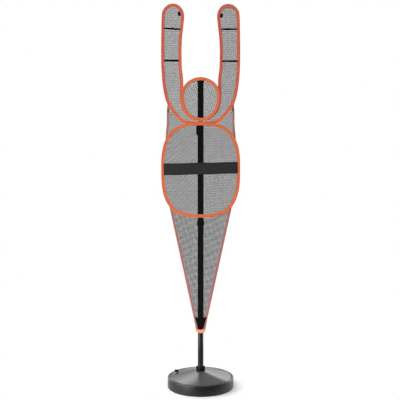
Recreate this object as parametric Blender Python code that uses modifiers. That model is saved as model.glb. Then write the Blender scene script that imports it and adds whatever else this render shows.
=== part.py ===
"""A basketball defensive mannequin: bound spring hoops with net, on a two-stage pole in a fillable base.

Metres, +Z up. The origin is on the floor, on the pole's axis. The mannequin faces -Y, and +X is on the
right of whoever looks at its front: right_ pieces are there.
"""

import math

import bmesh
import bpy
import numpy as np

# Clearances: between pieces that touch, and between tubes that slide in each other.
GAP = 0.0003
WELD = 0.00001

# Fillable base. Its cone rises from the rim to the hub, which holds the pole's socket.
BASE_RADIUS = 0.200
BASE_RIM_HEIGHT = 0.062
BASE_WALL = 0.0035
BASE_ROUND = 0.007
BASE_GROOVE_INSET = 0.013
BASE_GROOVE_DEPTH = 0.0025
BASE_GROOVE_WIDTH = 0.003
BASE_CONE_RISE = 0.034
BASE_FOOT_WIDTH = 0.016
BASE_FOOT_HEIGHT = 0.004
BASE_STEPS = 36
HUB_RADIUS = 0.031
WELL_FLOOR = 0.012

# Fill cap, on its own vertical axis at the back left of the base.
FILL_INSET = 0.041
FILL_ANGLE = math.radians(160)
FILL_BORE_RADIUS = 0.0085
FILL_NECK_RADIUS = 0.0135
FILL_NECK_RISE = 0.002
FILL_NECK_DEPTH = 0.012
GASKET_THICKNESS = 0.0015
GASKET_RADIUS = 0.0115
CAP_RADIUS = 0.0125
CAP_FLUTE = 0.0006
CAP_FLUTES = 12
CAP_HEIGHT = 0.007
CAP_SHANK_RADIUS = 0.0080
CAP_SHANK_LENGTH = 0.006
CAP_STEPS = 20

# Pole: lower tube in the socket, upper tube sliding in it, and the twist lock between them.
LOWER_RADIUS = 0.0175
LOWER_WALL = 0.0015
LOWER_TOP = 0.990
UPPER_RADIUS = 0.0150
UPPER_WALL = 0.0012
TUBE_LAP = 0.290
HEAD_OVER_TUBE = 0.017
TUBE_STEPS = 28
PLUG_LENGTH = 0.018
PLUG_FLANGE = 0.002
GUIDE_FLANGE = 0.006
SOCKET_WALL = 0.0028
SOCKET_FLANGE_RADIUS = 0.027
SOCKET_FLANGE = 0.003
SOCKET_RISE = 0.022
SOCKET_EAR_RISE = 0.026
SOCKET_EAR_REACH = 0.0235
SOCKET_EAR_WIDTH = 0.015
FERRULE_WALL = 0.0014
FERRULE_LENGTH = 0.017
FERRULE_LIP = 0.003
COLLET_HEIGHT = 0.009
COLLET_WALL = 0.0022
COLLET_TAPER = 0.0008
COLLET_SLIT = 0.003
COLLAR_RADIUS = 0.0209
COLLAR_FLUTE = 0.0006
COLLAR_FLUTES = 12
COLLAR_DROP = 0.011
COLLAR_RISE = 0.019
COLLAR_BOTTOM = LOWER_TOP - COLLAR_DROP
COLLAR_TOP = LOWER_TOP + COLLAR_RISE
COLLAR_ROUND = 0.005
COLLAR_END_RADIUS = 0.0192

# Bound hoops. A band is orange tape folded over a spring wire and the edge of the net. A hoop's
# line is the middle of its band, and the wire runs in the outer part of the fold.
BAND_WIDTH = 0.020
BAND_LIP = 0.0017
BAND_THICKEST = 0.0032
WIRE_RADIUS = 0.0015
WIRE_OFFSET = 0.0058
SHEET = 0.0012
EDGE_TAPE_WIDTH = 0.009
EDGE_TAPE_THICKNESS = 0.0032
EDGE_TAPE_FOLD = 0.001
LONGEST_FACET = 0.100
FACET_TURN = math.radians(15)
DENSE_STEPS = 240
GUIDE_POINTS = 12
SMOOTH_STEPS = 12

# Layers from the front: hoops of head and torso, sheets of shoulders and legs, hoop of the arms.
FRONT_LAYER = -0.0285
ARM_LAYER = FRONT_LAYER + 2 * BAND_THICKEST + GAP
SHEET_LAYER = FRONT_LAYER + BAND_THICKEST + GAP + SHEET / 2

# Torso and head, each with a middle height where it is widest, and the neck between them.
TORSO_HALF_WIDTH = 0.2290
TORSO_BOTTOM = 1.0367
TORSO_LOWER_HEIGHT = 0.2873
TORSO_UPPER_HEIGHT = 0.2696
TORSO_MIDDLE = TORSO_BOTTOM + TORSO_LOWER_HEIGHT
TORSO_TOP = TORSO_MIDDLE + TORSO_UPPER_HEIGHT
TORSO_UPPER_POWER = 2.74
TORSO_LOWER_POWER = 2.92

NECK = 0.0262
HEAD_HALF_WIDTH = 0.1102
HEAD_LOWER_HEIGHT = 0.1453
HEAD_UPPER_HEIGHT = 0.1003
HEAD_BOTTOM = TORSO_TOP + NECK
HEAD_MIDDLE = HEAD_BOTTOM + HEAD_LOWER_HEIGHT
HEAD_TOP = HEAD_MIDDLE + HEAD_UPPER_HEIGHT
HEAD_UPPER_POWER = 1.93
HEAD_LOWER_POWER = 2.17

# Right half of the arms' hoop: outside from the neck to the hand, half a circle round the hand, then
# down the inside. Each point is so far inside the torso's widest place, and so far above its top.
ARM_OUTSIDE = (
    (0.1742, 0.0055),
    (0.1224, 0.0174),
    (0.0866, 0.0522),
    (0.0517, 0.0959),
    (0.0278, 0.1446),
    (0.0099, 0.2291),
    (0.0009, 0.3384),
    (-0.0006, 0.4467),
    (0.0003, 0.5441),
)
HAND_CENTRE = (0.0612, 0.6613)
HAND_RADIUS = 0.058
ARM_INSIDE = (
    (0.1155, 0.6047),
    (0.1065, 0.5192),
    (0.1035, 0.4348),
    (0.1055, 0.3384),
    (0.1135, 0.2653),
)
ARM_HEAD_STEP = 0.006
ARM_HEAD_RISE = 0.015
ARM_NET_END = 0.024
HAND_STEPS = 5

# Free edges: the shoulders' from the same place as the arms' points, and the legs' first point
# so far inside the torso's widest place and above its bottom.
SHOULDER_EDGE = (
    (0.0336, 0.1144),
    (0.0306, 0.0717),
    (0.0306, 0.0111),
    (0.0281, -0.0256),
    (0.0236, -0.0793),
)
SHOULDER_TIP = 0.131
LEG_TOP = (0.043, 0.0713)
LEG_KNEE = (0.035, 0.4194)
LEG_END = (0.0225, 0.3519)

# Net: diamond gaps in staggered rows.
NET_PITCH = 0.056
NET_GAP_HALF = 0.0205
NET_MARGIN = 0.001
SHOULDER_NET_MIDDLE = 0.0602

# Straps, strips and pockets that carry the net on the pole.
HEAD_STRIP_WIDTH = 0.033
HEAD_STRIP_FLARE = 0.043
HEAD_FLARE_HEIGHT = 0.010
TORSO_STRIP_WIDTH = 0.036
LEG_STRIP_WIDTH = 0.035
POCKET_DEPTH = 0.075
FABRIC = 0.0015
STRAP_TAB = 0.031
STRAP_HEIGHT = 0.059
CHEST_BAND_INSET = 0.0055
CHEST_BAND_HEIGHT = 0.071
CHEST_BAND_DROP = 0.0017
ARM_STRAP_WIDTH = 0.011
ARM_STRAP_LAP = 0.003
MOST_LAP = 0.004
UPPER_STRAP_RISE = 0.5737
LOWER_STRAP_RISE = 0.3801
HAND_TAB = (0.016, 0.024)
HAND_TAB_PLACE = (0.101, 0.66)
HAND_TAB_TILT = math.radians(18)
POUCH_NOTCH = 0.0095
POUCH_INSET = 0.0015
SLEEVE_HALF = 0.024
SLEEVE_INSET = 0.002
HEM_HALF = 0.028
HEM_HEIGHT = 0.021
ROUND_STEPS = 8
POUCH_ROUND_STEPS = 4
SIDE_STEPS = 40
AXIS_SIZE = 0.05


def clear_scene():
    for obj in list(bpy.data.objects):
        bpy.data.objects.remove(obj, do_unlink=True)


def collection(name, shown):
    group = bpy.data.collections.new(name)
    group.hide_render = not shown
    bpy.context.scene.collection.children.link(group)
    return group


clear_scene()
PARTS = collection("defensive_mannequin", True)
CUTTERS = collection("cutters_and_guides", False)


def material(name, colour, roughness, metallic=0.0):
    made = bpy.data.materials.new(name)
    made.use_nodes = True
    made.diffuse_color = (*colour, 1)
    shader = made.node_tree.nodes["Principled BSDF"]
    shader.inputs["Base Color"].default_value = (*colour, 1)
    shader.inputs["Roughness"].default_value = roughness
    shader.inputs["Metallic"].default_value = metallic
    return made


ORANGE_TAPE = material("orange_tape", (0.72, 0.16, 0.045), 0.75)
EDGE_TAPE = material("red_edge_tape", (0.42, 0.12, 0.08), 0.8)
NET = material("black_net", (0.03, 0.03, 0.032), 0.85)
WEBBING = material("black_webbing", (0.012, 0.012, 0.013), 0.85)
STEEL = material("spring_steel", (0.45, 0.45, 0.46), 0.35, 1.0)
TUBE = material("black_enamel", (0.015, 0.015, 0.016), 0.22)
PLASTIC = material("black_plastic", (0.02, 0.02, 0.021), 0.45)
TANK = material("base_plastic", (0.03, 0.03, 0.031), 0.38)
RUBBER = material("rubber", (0.02, 0.02, 0.02), 0.9)


# Places and outlines


def beside_torso(points):
    """Points across and up, from so far inside the torso's widest place and so far above its top."""
    return [(TORSO_HALF_WIDTH - inset, TORSO_TOP + rise) for inset, rise in points]


def arc(centre, radius, start, end, steps=ROUND_STEPS):
    """Points round an arc, both ends included, from angle start to angle end in degrees."""
    angles = np.radians(np.linspace(start, end, steps + 1))
    return [(centre[0] + radius * math.cos(a), centre[1] + radius * math.sin(a)) for a in angles]


def fluted(radius, depth, flutes):
    """A round outline with shallow finger flutes, four points to a flute."""
    count = 4 * flutes
    return [
        (
            (radius + depth * math.cos(flutes * turn)) * math.cos(turn),
            (radius + depth * math.cos(flutes * turn)) * math.sin(turn),
        )
        for turn in (math.tau * step / count for step in range(count))
    ]


def d_outline(radius, front, half_width):
    """A D round the pole: half a circle behind it, carried forward to a flat front."""
    back = arc((0, 0), radius, 0, 180)
    return [(half_width, front), *back, (-half_width, front)]


def smooth_line(points, before, after, steps=SMOOTH_STEPS):
    """A Catmull-Rom line through the points, whose ends are steered by before and after."""
    guides = np.array([before, *points, after])
    line = []
    for a, b, c, d in zip(guides, guides[1:], guides[2:], guides[3:]):
        for t in np.arange(steps) / steps:
            line.append(
                0.5 * (2 * b + (c - a) * t + (2 * a - 5 * b + 4 * c - d) * t**2
                       + (3 * b - a - 3 * c + d) * t**3)
            )
    return [*line, guides[-2]]


def thinned(line):
    """The line with a point wherever it has run or turned far enough, its ends kept."""
    line = [np.array(p, float) for p in line]
    kept = [line[0]]
    spent = 0.0
    for before, here, after in zip(line, line[1:], line[2:]):
        step, onward = here - before, after - here
        turn = math.atan2(step[0] * onward[1] - step[1] * onward[0], step @ onward)
        spent += np.linalg.norm(step) / LONGEST_FACET + abs(turn) / FACET_TURN
        if spent >= 1:
            kept.append(here)
            spent = 0.0
    if np.linalg.norm(kept[-1] - line[-1]) < BAND_WIDTH / 2 and len(kept) > 1:
        kept.pop()
    return [*kept, line[-1]]


def mirrored(half):
    """A closed line from its right half, whose two ends lie on the middle plane."""
    half = [(float(x), float(z)) for x, z in half]
    half[0] = (0.0, half[0][1])
    half[-1] = (0.0, half[-1][1])
    return half + [(-x, z) for x, z in reversed(half[1:-1])]


def flipped(line):
    return [(-x, z) for x, z in reversed(line)]


def offset_line(line, distance, closed):
    """The line moved sideways, to the right of its direction, by distance."""
    points = np.array(line, float)
    runs = np.roll(points, -1, axis=0) - points
    if not closed:
        runs[-1] = runs[-2]
    runs /= np.linalg.norm(runs, axis=1)[:, None]
    before = np.roll(runs, 1, axis=0)
    if not closed:
        before[0] = runs[0]
    along = runs + before
    along /= np.linalg.norm(along, axis=1)[:, None]
    return points + distance * np.stack([along[:, 1], -along[:, 0]], axis=1)


def hoop_half(half_width, top, middle, bottom, upper_power, lower_power):
    """The right half of a hoop's line, bottom to top: two superellipses that meet where it is widest."""
    line = []
    for angle in np.linspace(-math.pi / 2, math.pi / 2, DENSE_STEPS):
        rise = math.sin(angle)
        power = upper_power if rise > 0 else lower_power
        height = top - middle if rise > 0 else middle - bottom
        line.append(
            (
                half_width * abs(math.cos(angle)) ** (2 / power),
                middle + height * math.copysign(abs(rise) ** (2 / power), rise),
            )
        )
    return line


def arms_half(head_half):
    """The right half of the arms' line: it ends under the head, just inside the head hoop's back."""
    under_head = [
        (x + ARM_HEAD_STEP * x / HEAD_HALF_WIDTH, z)
        for x, z in head_half[:: DENSE_STEPS // GUIDE_POINTS]
        if z < HEAD_MIDDLE + ARM_HEAD_RISE
    ]
    neck = (0.0, HEAD_BOTTOM - BAND_WIDTH - GAP)
    hand = arc(beside_torso([HAND_CENTRE])[0], HAND_RADIUS, 0, 180, HAND_STEPS)
    outside, down_inside = beside_torso(ARM_OUTSIDE), beside_torso(ARM_INSIDE)
    points = [neck, *outside, *hand, *down_inside, *reversed(under_head)]
    before = (-points[1][0], points[1][1])
    after = (-points[-2][0], points[-2][1])
    return smooth_line(points, before, after)


def distances(points, line):
    """How far each point is from the open line."""
    points = np.array(points, float)[:, None]
    a, b = np.array(line[:-1], float)[None], np.array(line[1:], float)[None]
    along = b - a
    share = np.clip(((points - a) * along).sum(-1) / (along**2).sum(-1), 0, 1)
    return np.linalg.norm(points - a - share[..., None] * along, axis=-1).min(axis=1)


def clear_of(line, *others, by):
    """The stretch of a line that is farther than by from each of the others."""
    far = np.min([distances(line, other) for other in others], axis=0) > by
    return [p for p, clear in zip(line, far) if clear]


def inside(points, outline):
    """Whether each point is inside the closed outline."""
    points = np.array(points, float)
    x, z = points[:, 0], points[:, 1]
    hit = np.zeros(len(points), bool)
    for (ax, az), (bx, bz) in zip(outline, [*outline[1:], outline[0]]):
        crosses = (az > z) != (bz > z)
        if az != bz:
            hit ^= crosses & (x < (bx - ax) * (z - az) / (bz - az) + ax)
    return hit


def net_gaps(outline, middle, hem):
    """Diamonds in staggered rows about a middle line, each clear of the hem inside the outline."""
    x_most = max(abs(x - middle) for x, z in outline)
    z_least, z_most = min(z for x, z in outline), max(z for x, z in outline)
    columns = math.ceil(x_most / NET_PITCH)
    rows = range(math.floor(2 * z_least / NET_PITCH), math.ceil(2 * z_most / NET_PITCH) + 1)
    half = NET_GAP_HALF
    gaps = []
    for row in rows:
        for column in range(-columns, columns + 1):
            x = middle + (column + 0.5 * (row % 2)) * NET_PITCH
            z = row * NET_PITCH / 2
            gap = [(x + half, z), (x, z + half), (x - half, z), (x, z - half)]
            clear = distances(gap, [*outline, outline[0]]).min() > hem
            if clear and inside(gap, outline).all():
                gaps.append(gap)
    return gaps


# Objects


def placed(obj, look, parent=None):
    PARTS.objects.link(obj)
    obj.data.materials.append(look)
    if parent is not None:
        held = obj.matrix_basis.copy()
        obj.parent = parent
        obj.matrix_parent_inverse = parent.matrix_basis.inverted()
        obj.matrix_basis = held
    return obj


def axis_empty(name, place, parent=None):
    empty = bpy.data.objects.new(name, None)
    empty.location = place
    empty.empty_display_size = AXIS_SIZE
    PARTS.objects.link(empty)
    if parent is not None:
        empty.parent = parent
        empty.matrix_parent_inverse = parent.matrix_basis.inverted()
    return empty


def flat_curve(name, outlines, half_thickness):
    """A filled 2D curve: the first outline is the piece's edge, and the others are holes."""
    data = bpy.data.curves.new(name, "CURVE")
    data.dimensions = "2D"
    data.fill_mode = "BOTH"
    data.extrude = half_thickness
    for outline in outlines:
        spline = data.splines.new("POLY")
        spline.points.add(len(outline) - 1)
        for point, (x, y) in zip(spline.points, outline):
            point.co = (x, y, 0, 1)
        spline.use_cyclic_u = True
    return bpy.data.objects.new(name, data)


def upright(obj, y):
    """Stands a flat curve up, so that its x runs across, its y runs up and it lies at this depth."""
    obj.rotation_euler = (math.pi / 2, 0, 0)
    obj.location = (0, y, 0)
    return obj


def sheet(name, outline, y, look, parent, holes=(), thickness=SHEET):
    return placed(upright(flat_curve(name, [outline, *holes], thickness / 2), y), look, parent)


def prism(name, outlines, bottom, top):
    """Outlines seen from above, extruded from bottom to top."""
    obj = flat_curve(name, outlines, (top - bottom) / 2)
    obj.location = (0, 0, (top + bottom) / 2)
    return obj


def section(name, outline):
    """A closed outline that a sweep carries along a line, its x to the line's right."""
    obj = flat_curve(name, [outline[::-1]], 0)
    obj.data.fill_mode = "NONE"
    obj.hide_render = True
    CUTTERS.objects.link(obj)
    return obj


def swept(name, line, shape, y, look, parent, closed=True):
    data = bpy.data.curves.new(name, "CURVE")
    data.dimensions = "3D"
    data.twist_mode = "Z_UP"
    data.bevel_mode = "OBJECT"
    data.bevel_object = shape
    data.use_fill_caps = True
    spline = data.splines.new("POLY")
    spline.points.add(len(line) - 1)
    for point, (x, z) in zip(spline.points, line):
        point.co = (x, z, 0, 1)
    spline.use_cyclic_u = closed
    return placed(upright(bpy.data.objects.new(name, data), y), look, parent)


def meshed(curve):
    """The curve as a mesh object in its place, its caps welded to its sides."""
    bpy.context.scene.collection.objects.link(curve)
    bpy.context.view_layer.update()
    graph = bpy.context.evaluated_depsgraph_get()
    mesh = bpy.data.meshes.new_from_object(curve.evaluated_get(graph))
    work = bmesh.new()
    work.from_mesh(mesh)
    bmesh.ops.remove_doubles(work, verts=work.verts, dist=WELD)
    bmesh.ops.recalc_face_normals(work, faces=work.faces)
    work.to_mesh(mesh)
    work.free()
    name = curve.name
    solid = bpy.data.objects.new(name + "_mesh", mesh)
    solid.matrix_world = curve.matrix_world
    bpy.data.objects.remove(curve, do_unlink=True)
    solid.name = name
    return solid


def turned(name, profile, steps=TUBE_STEPS, closed=True):
    """A turned solid. The profile gives radius and height, down its outer side and up its inner side."""
    mesh = bpy.data.meshes.new(name)
    count = len(profile)
    edges = [(i, i + 1) for i in range(count - 1)]
    if closed:
        edges.append((count - 1, 0))
    mesh.from_pydata([(r, 0, z) for r, z in profile], edges, [])
    obj = bpy.data.objects.new(name, mesh)
    screw = obj.modifiers.new("turn", "SCREW")
    screw.steps = steps
    screw.render_steps = steps
    screw.use_merge_vertices = True
    screw.merge_threshold = WELD
    screw.use_smooth_shade = False
    return obj


def ring(inner, outer, bottom, top):
    return [(outer, top), (outer, bottom), (inner, bottom), (inner, top)]


def helper(obj):
    """Puts a cutter or a piece to be joined in the cutters' collection."""
    obj.hide_render = True
    obj.display_type = "WIRE"
    CUTTERS.objects.link(obj)
    return obj


def cylinder_helper(name, radius, bottom, top, place=(0, 0), steps=TUBE_STEPS):
    mesh = bpy.data.meshes.new(name)
    work = bmesh.new()
    bmesh.ops.create_cone(
        work, cap_ends=True, segments=steps, radius1=radius, radius2=radius, depth=top - bottom
    )
    work.to_mesh(mesh)
    work.free()
    obj = bpy.data.objects.new(name, mesh)
    obj.location = (*place, (top + bottom) / 2)
    return helper(obj)


def box_helper(name, low, high):
    mesh = bpy.data.meshes.new(name)
    work = bmesh.new()
    bmesh.ops.create_cube(work, size=1)
    size = np.array(high) - np.array(low)
    bmesh.ops.scale(work, vec=size, verts=work.verts)
    work.to_mesh(mesh)
    work.free()
    obj = bpy.data.objects.new(name, mesh)
    obj.location = (np.array(high) + np.array(low)) / 2
    return helper(obj)


def boolean(obj, other, operation):
    cut = obj.modifiers.new(other.name, "BOOLEAN")
    cut.operation = operation
    cut.object = other
    return obj


# Base and its cap


def groove_radius():
    return BASE_RADIUS - BASE_GROOVE_INSET


def cone_height(radius):
    """Height of the base's cone: from the hub down to the groove at the rim."""
    share = (radius - HUB_RADIUS) / (groove_radius() - HUB_RADIUS)
    return BASE_RIM_HEIGHT + BASE_CONE_RISE * (1 - share)


def well_radius():
    return LOWER_RADIUS + 2 * GAP + SOCKET_WALL


def tank_profile():
    hub_top = cone_height(HUB_RADIUS)
    shoulder = arc(
        (BASE_RADIUS - BASE_ROUND, BASE_RIM_HEIGHT - BASE_ROUND), BASE_ROUND, 90, 0, 3
    )
    groove = groove_radius()
    foot_inner = BASE_RADIUS - BASE_FOOT_WIDTH
    return [
        (0, WELL_FLOOR),
        (well_radius(), WELL_FLOOR),
        (well_radius(), hub_top),
        (HUB_RADIUS - BASE_GROOVE_WIDTH, hub_top),
        (HUB_RADIUS, hub_top - BASE_GROOVE_WIDTH / 2),
        (groove, cone_height(groove)),
        (groove + BASE_GROOVE_WIDTH / 3, BASE_RIM_HEIGHT - BASE_GROOVE_DEPTH),
        (groove + BASE_GROOVE_WIDTH, BASE_RIM_HEIGHT - BASE_GROOVE_DEPTH),
        *shoulder,
        (BASE_RADIUS, BASE_FOOT_HEIGHT),
        (BASE_RADIUS - BASE_FOOT_HEIGHT, 0),
        (foot_inner, 0),
        (foot_inner - BASE_FOOT_HEIGHT, BASE_FOOT_HEIGHT),
        (0, BASE_FOOT_HEIGHT),
    ]


def fill_place():
    distance = BASE_RADIUS - FILL_INSET
    return (distance * math.cos(FILL_ANGLE), distance * math.sin(FILL_ANGLE))


def neck_top():
    return cone_height(BASE_RADIUS - FILL_INSET - FILL_NECK_RADIUS) + FILL_NECK_RISE


def make_base(base):
    tank = turned("base_tank", tank_profile(), BASE_STEPS, closed=False)
    wall = tank.modifiers.new("wall", "SOLIDIFY")
    wall.thickness = BASE_WALL
    wall.offset = -1
    wall.use_even_offset = True
    place = fill_place()
    top = neck_top()
    neck = cylinder_helper(
        "fill_neck_boss", FILL_NECK_RADIUS, top - FILL_NECK_DEPTH, top, place, CAP_STEPS
    )
    bore = cylinder_helper(
        "fill_neck_bore",
        FILL_BORE_RADIUS,
        top - 2 * FILL_NECK_DEPTH,
        top + FILL_NECK_RISE,
        place,
        CAP_STEPS,
    )
    boolean(tank, neck, "UNION")
    boolean(tank, bore, "DIFFERENCE")
    placed(tank, TANK, base)

    inner = LOWER_RADIUS + GAP
    outer = inner + SOCKET_WALL
    hub_top = cone_height(HUB_RADIUS)
    flange_bottom = hub_top + GAP
    flange_top = flange_bottom + SOCKET_FLANGE
    socket_top, ear_top = hub_top + SOCKET_RISE, hub_top + SOCKET_EAR_RISE
    socket = turned(
        "pole_socket",
        [
            (outer, socket_top),
            (outer, flange_top),
            (SOCKET_FLANGE_RADIUS, flange_top),
            (SOCKET_FLANGE_RADIUS, flange_bottom),
            (outer, flange_bottom),
            (outer, WELL_FLOOR + GAP),
            (inner, WELL_FLOOR + GAP),
            (inner, socket_top),
        ],
    )
    ears = box_helper(
        "socket_ears",
        (-SOCKET_EAR_REACH, -SOCKET_EAR_WIDTH / 2, flange_top - GAP),
        (SOCKET_EAR_REACH, SOCKET_EAR_WIDTH / 2, ear_top),
    )
    bore = cylinder_helper("socket_bore", inner, WELL_FLOOR, ear_top + WELL_FLOOR)
    boolean(socket, ears, "UNION")
    boolean(socket, bore, "DIFFERENCE")
    placed(socket, PLASTIC, base)


def make_fill_cap(cap_axis):
    x, y = fill_place()
    seat = neck_top() + GAP
    gasket = turned(
        "fill_cap_gasket",
        ring(CAP_SHANK_RADIUS + GAP, GASKET_RADIUS, seat, seat + GASKET_THICKNESS),
        CAP_STEPS,
    )
    gasket.location = (x, y, 0)
    placed(gasket, RUBBER, cap_axis)
    bottom = seat + GASKET_THICKNESS + GAP
    cap = prism("fill_cap", [fluted(CAP_RADIUS, CAP_FLUTE, CAP_FLUTES)], bottom, bottom + CAP_HEIGHT)
    cap.location.x, cap.location.y = x, y
    cap = meshed(cap)
    shank = cylinder_helper(
        "cap_shank",
        CAP_SHANK_RADIUS,
        bottom - CAP_SHANK_LENGTH,
        bottom + CAP_HEIGHT / 2,
        (x, y),
        CAP_STEPS,
    )
    boolean(cap, shank, "UNION")
    placed(cap, PLASTIC, cap_axis)


# Pole and its twist lock


def tube(name, radius, wall, bottom, top, parent):
    placed(turned(name, ring(radius - wall, radius, bottom, top)), TUBE, parent)


def end_plug(name, radius, bore, flange_low, flange_high, shank_to, parent):
    """A flanged plug: its flange covers a tube's end, and its shank goes up or down the bore."""
    if shank_to > flange_high:
        profile = [(0, shank_to), (bore, shank_to), (bore, flange_high), (radius, flange_high),
                   (radius, flange_low), (0, flange_low)]
    else:
        profile = [(0, flange_high), (radius, flange_high), (radius, flange_low), (bore, flange_low),
                   (bore, shank_to), (0, shank_to)]
    placed(turned(name, profile, closed=False), PLASTIC, parent)


def make_lower_pole(lower):
    foot_low = WELL_FLOOR + GAP
    foot_high = foot_low + PLUG_FLANGE
    bottom = foot_high + GAP
    bore = LOWER_RADIUS - LOWER_WALL - GAP
    end_plug("lower_tube_foot", LOWER_RADIUS, bore, foot_low, foot_high, bottom + PLUG_LENGTH, lower)
    tube("lower_tube", LOWER_RADIUS, LOWER_WALL, bottom, LOWER_TOP, lower)

    inner = LOWER_RADIUS + GAP
    outer = inner + FERRULE_WALL
    lip_low = LOWER_TOP + GAP
    lip_high = lip_low + FERRULE_LIP
    bore = UPPER_RADIUS + 2 * GAP
    ferrule = turned(
        "lock_ferrule",
        [
            (outer, lip_high),
            (outer, LOWER_TOP - FERRULE_LENGTH),
            (inner, LOWER_TOP - FERRULE_LENGTH),
            (inner, lip_low),
            (bore, lip_low),
            (bore, lip_high),
        ],
    )
    placed(ferrule, PLASTIC, lower)

    low = lip_high + GAP
    inner = UPPER_RADIUS + GAP
    outer = inner + COLLET_WALL
    collet = turned(
        "lock_collet",
        [(outer - COLLET_TAPER, low + COLLET_HEIGHT), (outer, low), (inner, low),
         (inner, low + COLLET_HEIGHT)],
    )
    slit = box_helper(
        "collet_slit",
        (inner - COLLET_WALL, -COLLET_SLIT / 2, low - GAP),
        (outer + COLLET_WALL, COLLET_SLIT / 2, low + 2 * COLLET_HEIGHT),
    )
    boolean(collet, slit, "DIFFERENCE")
    placed(collet, PLASTIC, lower)


def make_twist_collar(collar_axis):
    ferrule = LOWER_RADIUS + GAP + FERRULE_WALL
    cone_low = LOWER_TOP + 2 * GAP + FERRULE_LIP
    cone_high = cone_low + COLLET_HEIGHT + GAP
    collet = UPPER_RADIUS + 2 * GAP + COLLET_WALL
    bore = turned(
        "collar_bore",
        [
            (0, COLLAR_TOP + COLLET_HEIGHT),
            (UPPER_RADIUS + 2 * GAP, COLLAR_TOP + COLLET_HEIGHT),
            (UPPER_RADIUS + 2 * GAP, cone_high),
            (collet - COLLET_TAPER, cone_high),
            (collet, cone_low),
            (ferrule + GAP, cone_low),
            (ferrule + GAP, COLLAR_BOTTOM - COLLET_HEIGHT),
            (0, COLLAR_BOTTOM - COLLET_HEIGHT),
        ],
        closed=False,
    )
    helper(bore)
    collar = prism(
        "twist_collar", [fluted(COLLAR_RADIUS, COLLAR_FLUTE, COLLAR_FLUTES)], COLLAR_BOTTOM, COLLAR_TOP
    )
    collar = meshed(collar)
    rounded = turned(
        "collar_ends",
        [
            (0, COLLAR_TOP - GAP),
            (COLLAR_END_RADIUS, COLLAR_TOP - GAP),
            (COLLAR_RADIUS + COLLAR_FLUTE, COLLAR_TOP - COLLAR_ROUND),
            (COLLAR_RADIUS + 2 * COLLAR_FLUTE, (COLLAR_TOP + COLLAR_BOTTOM) / 2),
            (COLLAR_RADIUS + COLLAR_FLUTE, COLLAR_BOTTOM + COLLAR_ROUND),
            (COLLAR_END_RADIUS, COLLAR_BOTTOM + GAP),
            (0, COLLAR_BOTTOM + GAP),
        ],
        4 * COLLAR_FLUTES,
        closed=False,
    )
    boolean(collar, helper(rounded), "INTERSECT")
    boolean(collar, bore, "DIFFERENCE")
    placed(collar, PLASTIC, collar_axis)


def tube_top():
    return HEAD_TOP - HEAD_OVER_TUBE


def make_upper_pole(mannequin):
    bottom, top = LOWER_TOP - TUBE_LAP, tube_top()
    bore = UPPER_RADIUS - UPPER_WALL - GAP
    guide_radius = LOWER_RADIUS - LOWER_WALL - GAP
    tube("upper_tube", UPPER_RADIUS, UPPER_WALL, bottom, top, mannequin)
    flange_high = bottom - GAP
    end_plug("upper_tube_guide", guide_radius, bore, flange_high - GUIDE_FLANGE, flange_high,
             bottom + PLUG_LENGTH, mannequin)
    flange_low = top + GAP
    end_plug("upper_tube_cap", UPPER_RADIUS, bore, flange_low, flange_low + PLUG_FLANGE,
             top - PLUG_LENGTH, mannequin)


# Bound hoops and nets


def band_section():
    """The folded tape: a pocket round the wire, and two lips that hold the net's edge."""
    half = BAND_WIDTH / 2
    slot = SHEET / 2 + GAP
    pocket = (WIRE_RADIUS + GAP) * math.sqrt(2)
    upper_inner = [(-half, slot), (WIRE_OFFSET - pocket + slot, slot), (WIRE_OFFSET, pocket)]
    upper_outer = [
        (-half, BAND_LIP),
        (WIRE_OFFSET - WIRE_RADIUS, BAND_THICKEST),
        (half - WIRE_RADIUS / 2, BAND_THICKEST - WIRE_RADIUS / 2),
    ]
    inner = upper_inner + [(WIRE_OFFSET + pocket, 0)] + [(u, -v) for u, v in reversed(upper_inner)]
    outer = [(u, -v) for u, v in upper_outer] + [(half, 0)] + list(reversed(upper_outer))
    return section("band_section", inner + outer)


def wire_section():
    return section(
        "wire_section", [(WIRE_OFFSET + u, v) for u, v in arc((0, 0), WIRE_RADIUS, 0, 288, 4)]
    )


def tape_section():
    """The narrow tape folded over a sheet's free edge."""
    half, thick, slot = EDGE_TAPE_WIDTH / 2, EDGE_TAPE_THICKNESS / 2, SHEET / 2 + GAP
    fold = half - EDGE_TAPE_FOLD
    return section(
        "edge_tape_section",
        [(-half, slot), (fold, slot), (fold, -slot), (-half, -slot), (-half, -thick), (half, -thick),
         (half, thick), (-half, thick)],
    )


def make_hoop(name, line, y, sections, parent):
    band, wire = sections
    swept(name + "_binding", line, band, y, ORANGE_TAPE, parent)
    swept(name + "_wire", line, wire, y, STEEL, parent)


def make_net(name, outline, y, parent, middle=0.0, border=BAND_WIDTH / 2):
    """A sheet with the net's gaps, whose border stays whole under the band or tape."""
    outline = [(float(x), float(z)) for x, z in outline]
    sheet(name, outline, y, NET, parent, net_gaps(outline, middle, border + NET_MARGIN))


def make_strip(name, half_width, bottom, top, y, parent, look=WEBBING):
    outline = [(half_width, bottom), (half_width, top), (-half_width, top), (-half_width, bottom)]
    sheet(name, outline, y, look, parent)


def crossings(line, height):
    """Where an open line crosses a height, in order."""
    found = []
    for (ax, az), (bx, bz) in zip(line, line[1:]):
        if (az - height) * (bz - height) < 0:
            found.append(ax + (bx - ax) * (height - az) / (bz - az))
    return found


def room_in_hoop(line, half_width):
    """The lowest and highest places that the corners of a strip this wide reach inside a hoop's band."""
    edge = offset_line(line, -BAND_WIDTH / 2 - GAP, closed=True)
    heights = crossings([(z, x) for x, z in edge], half_width)
    return min(heights), max(heights)


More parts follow.
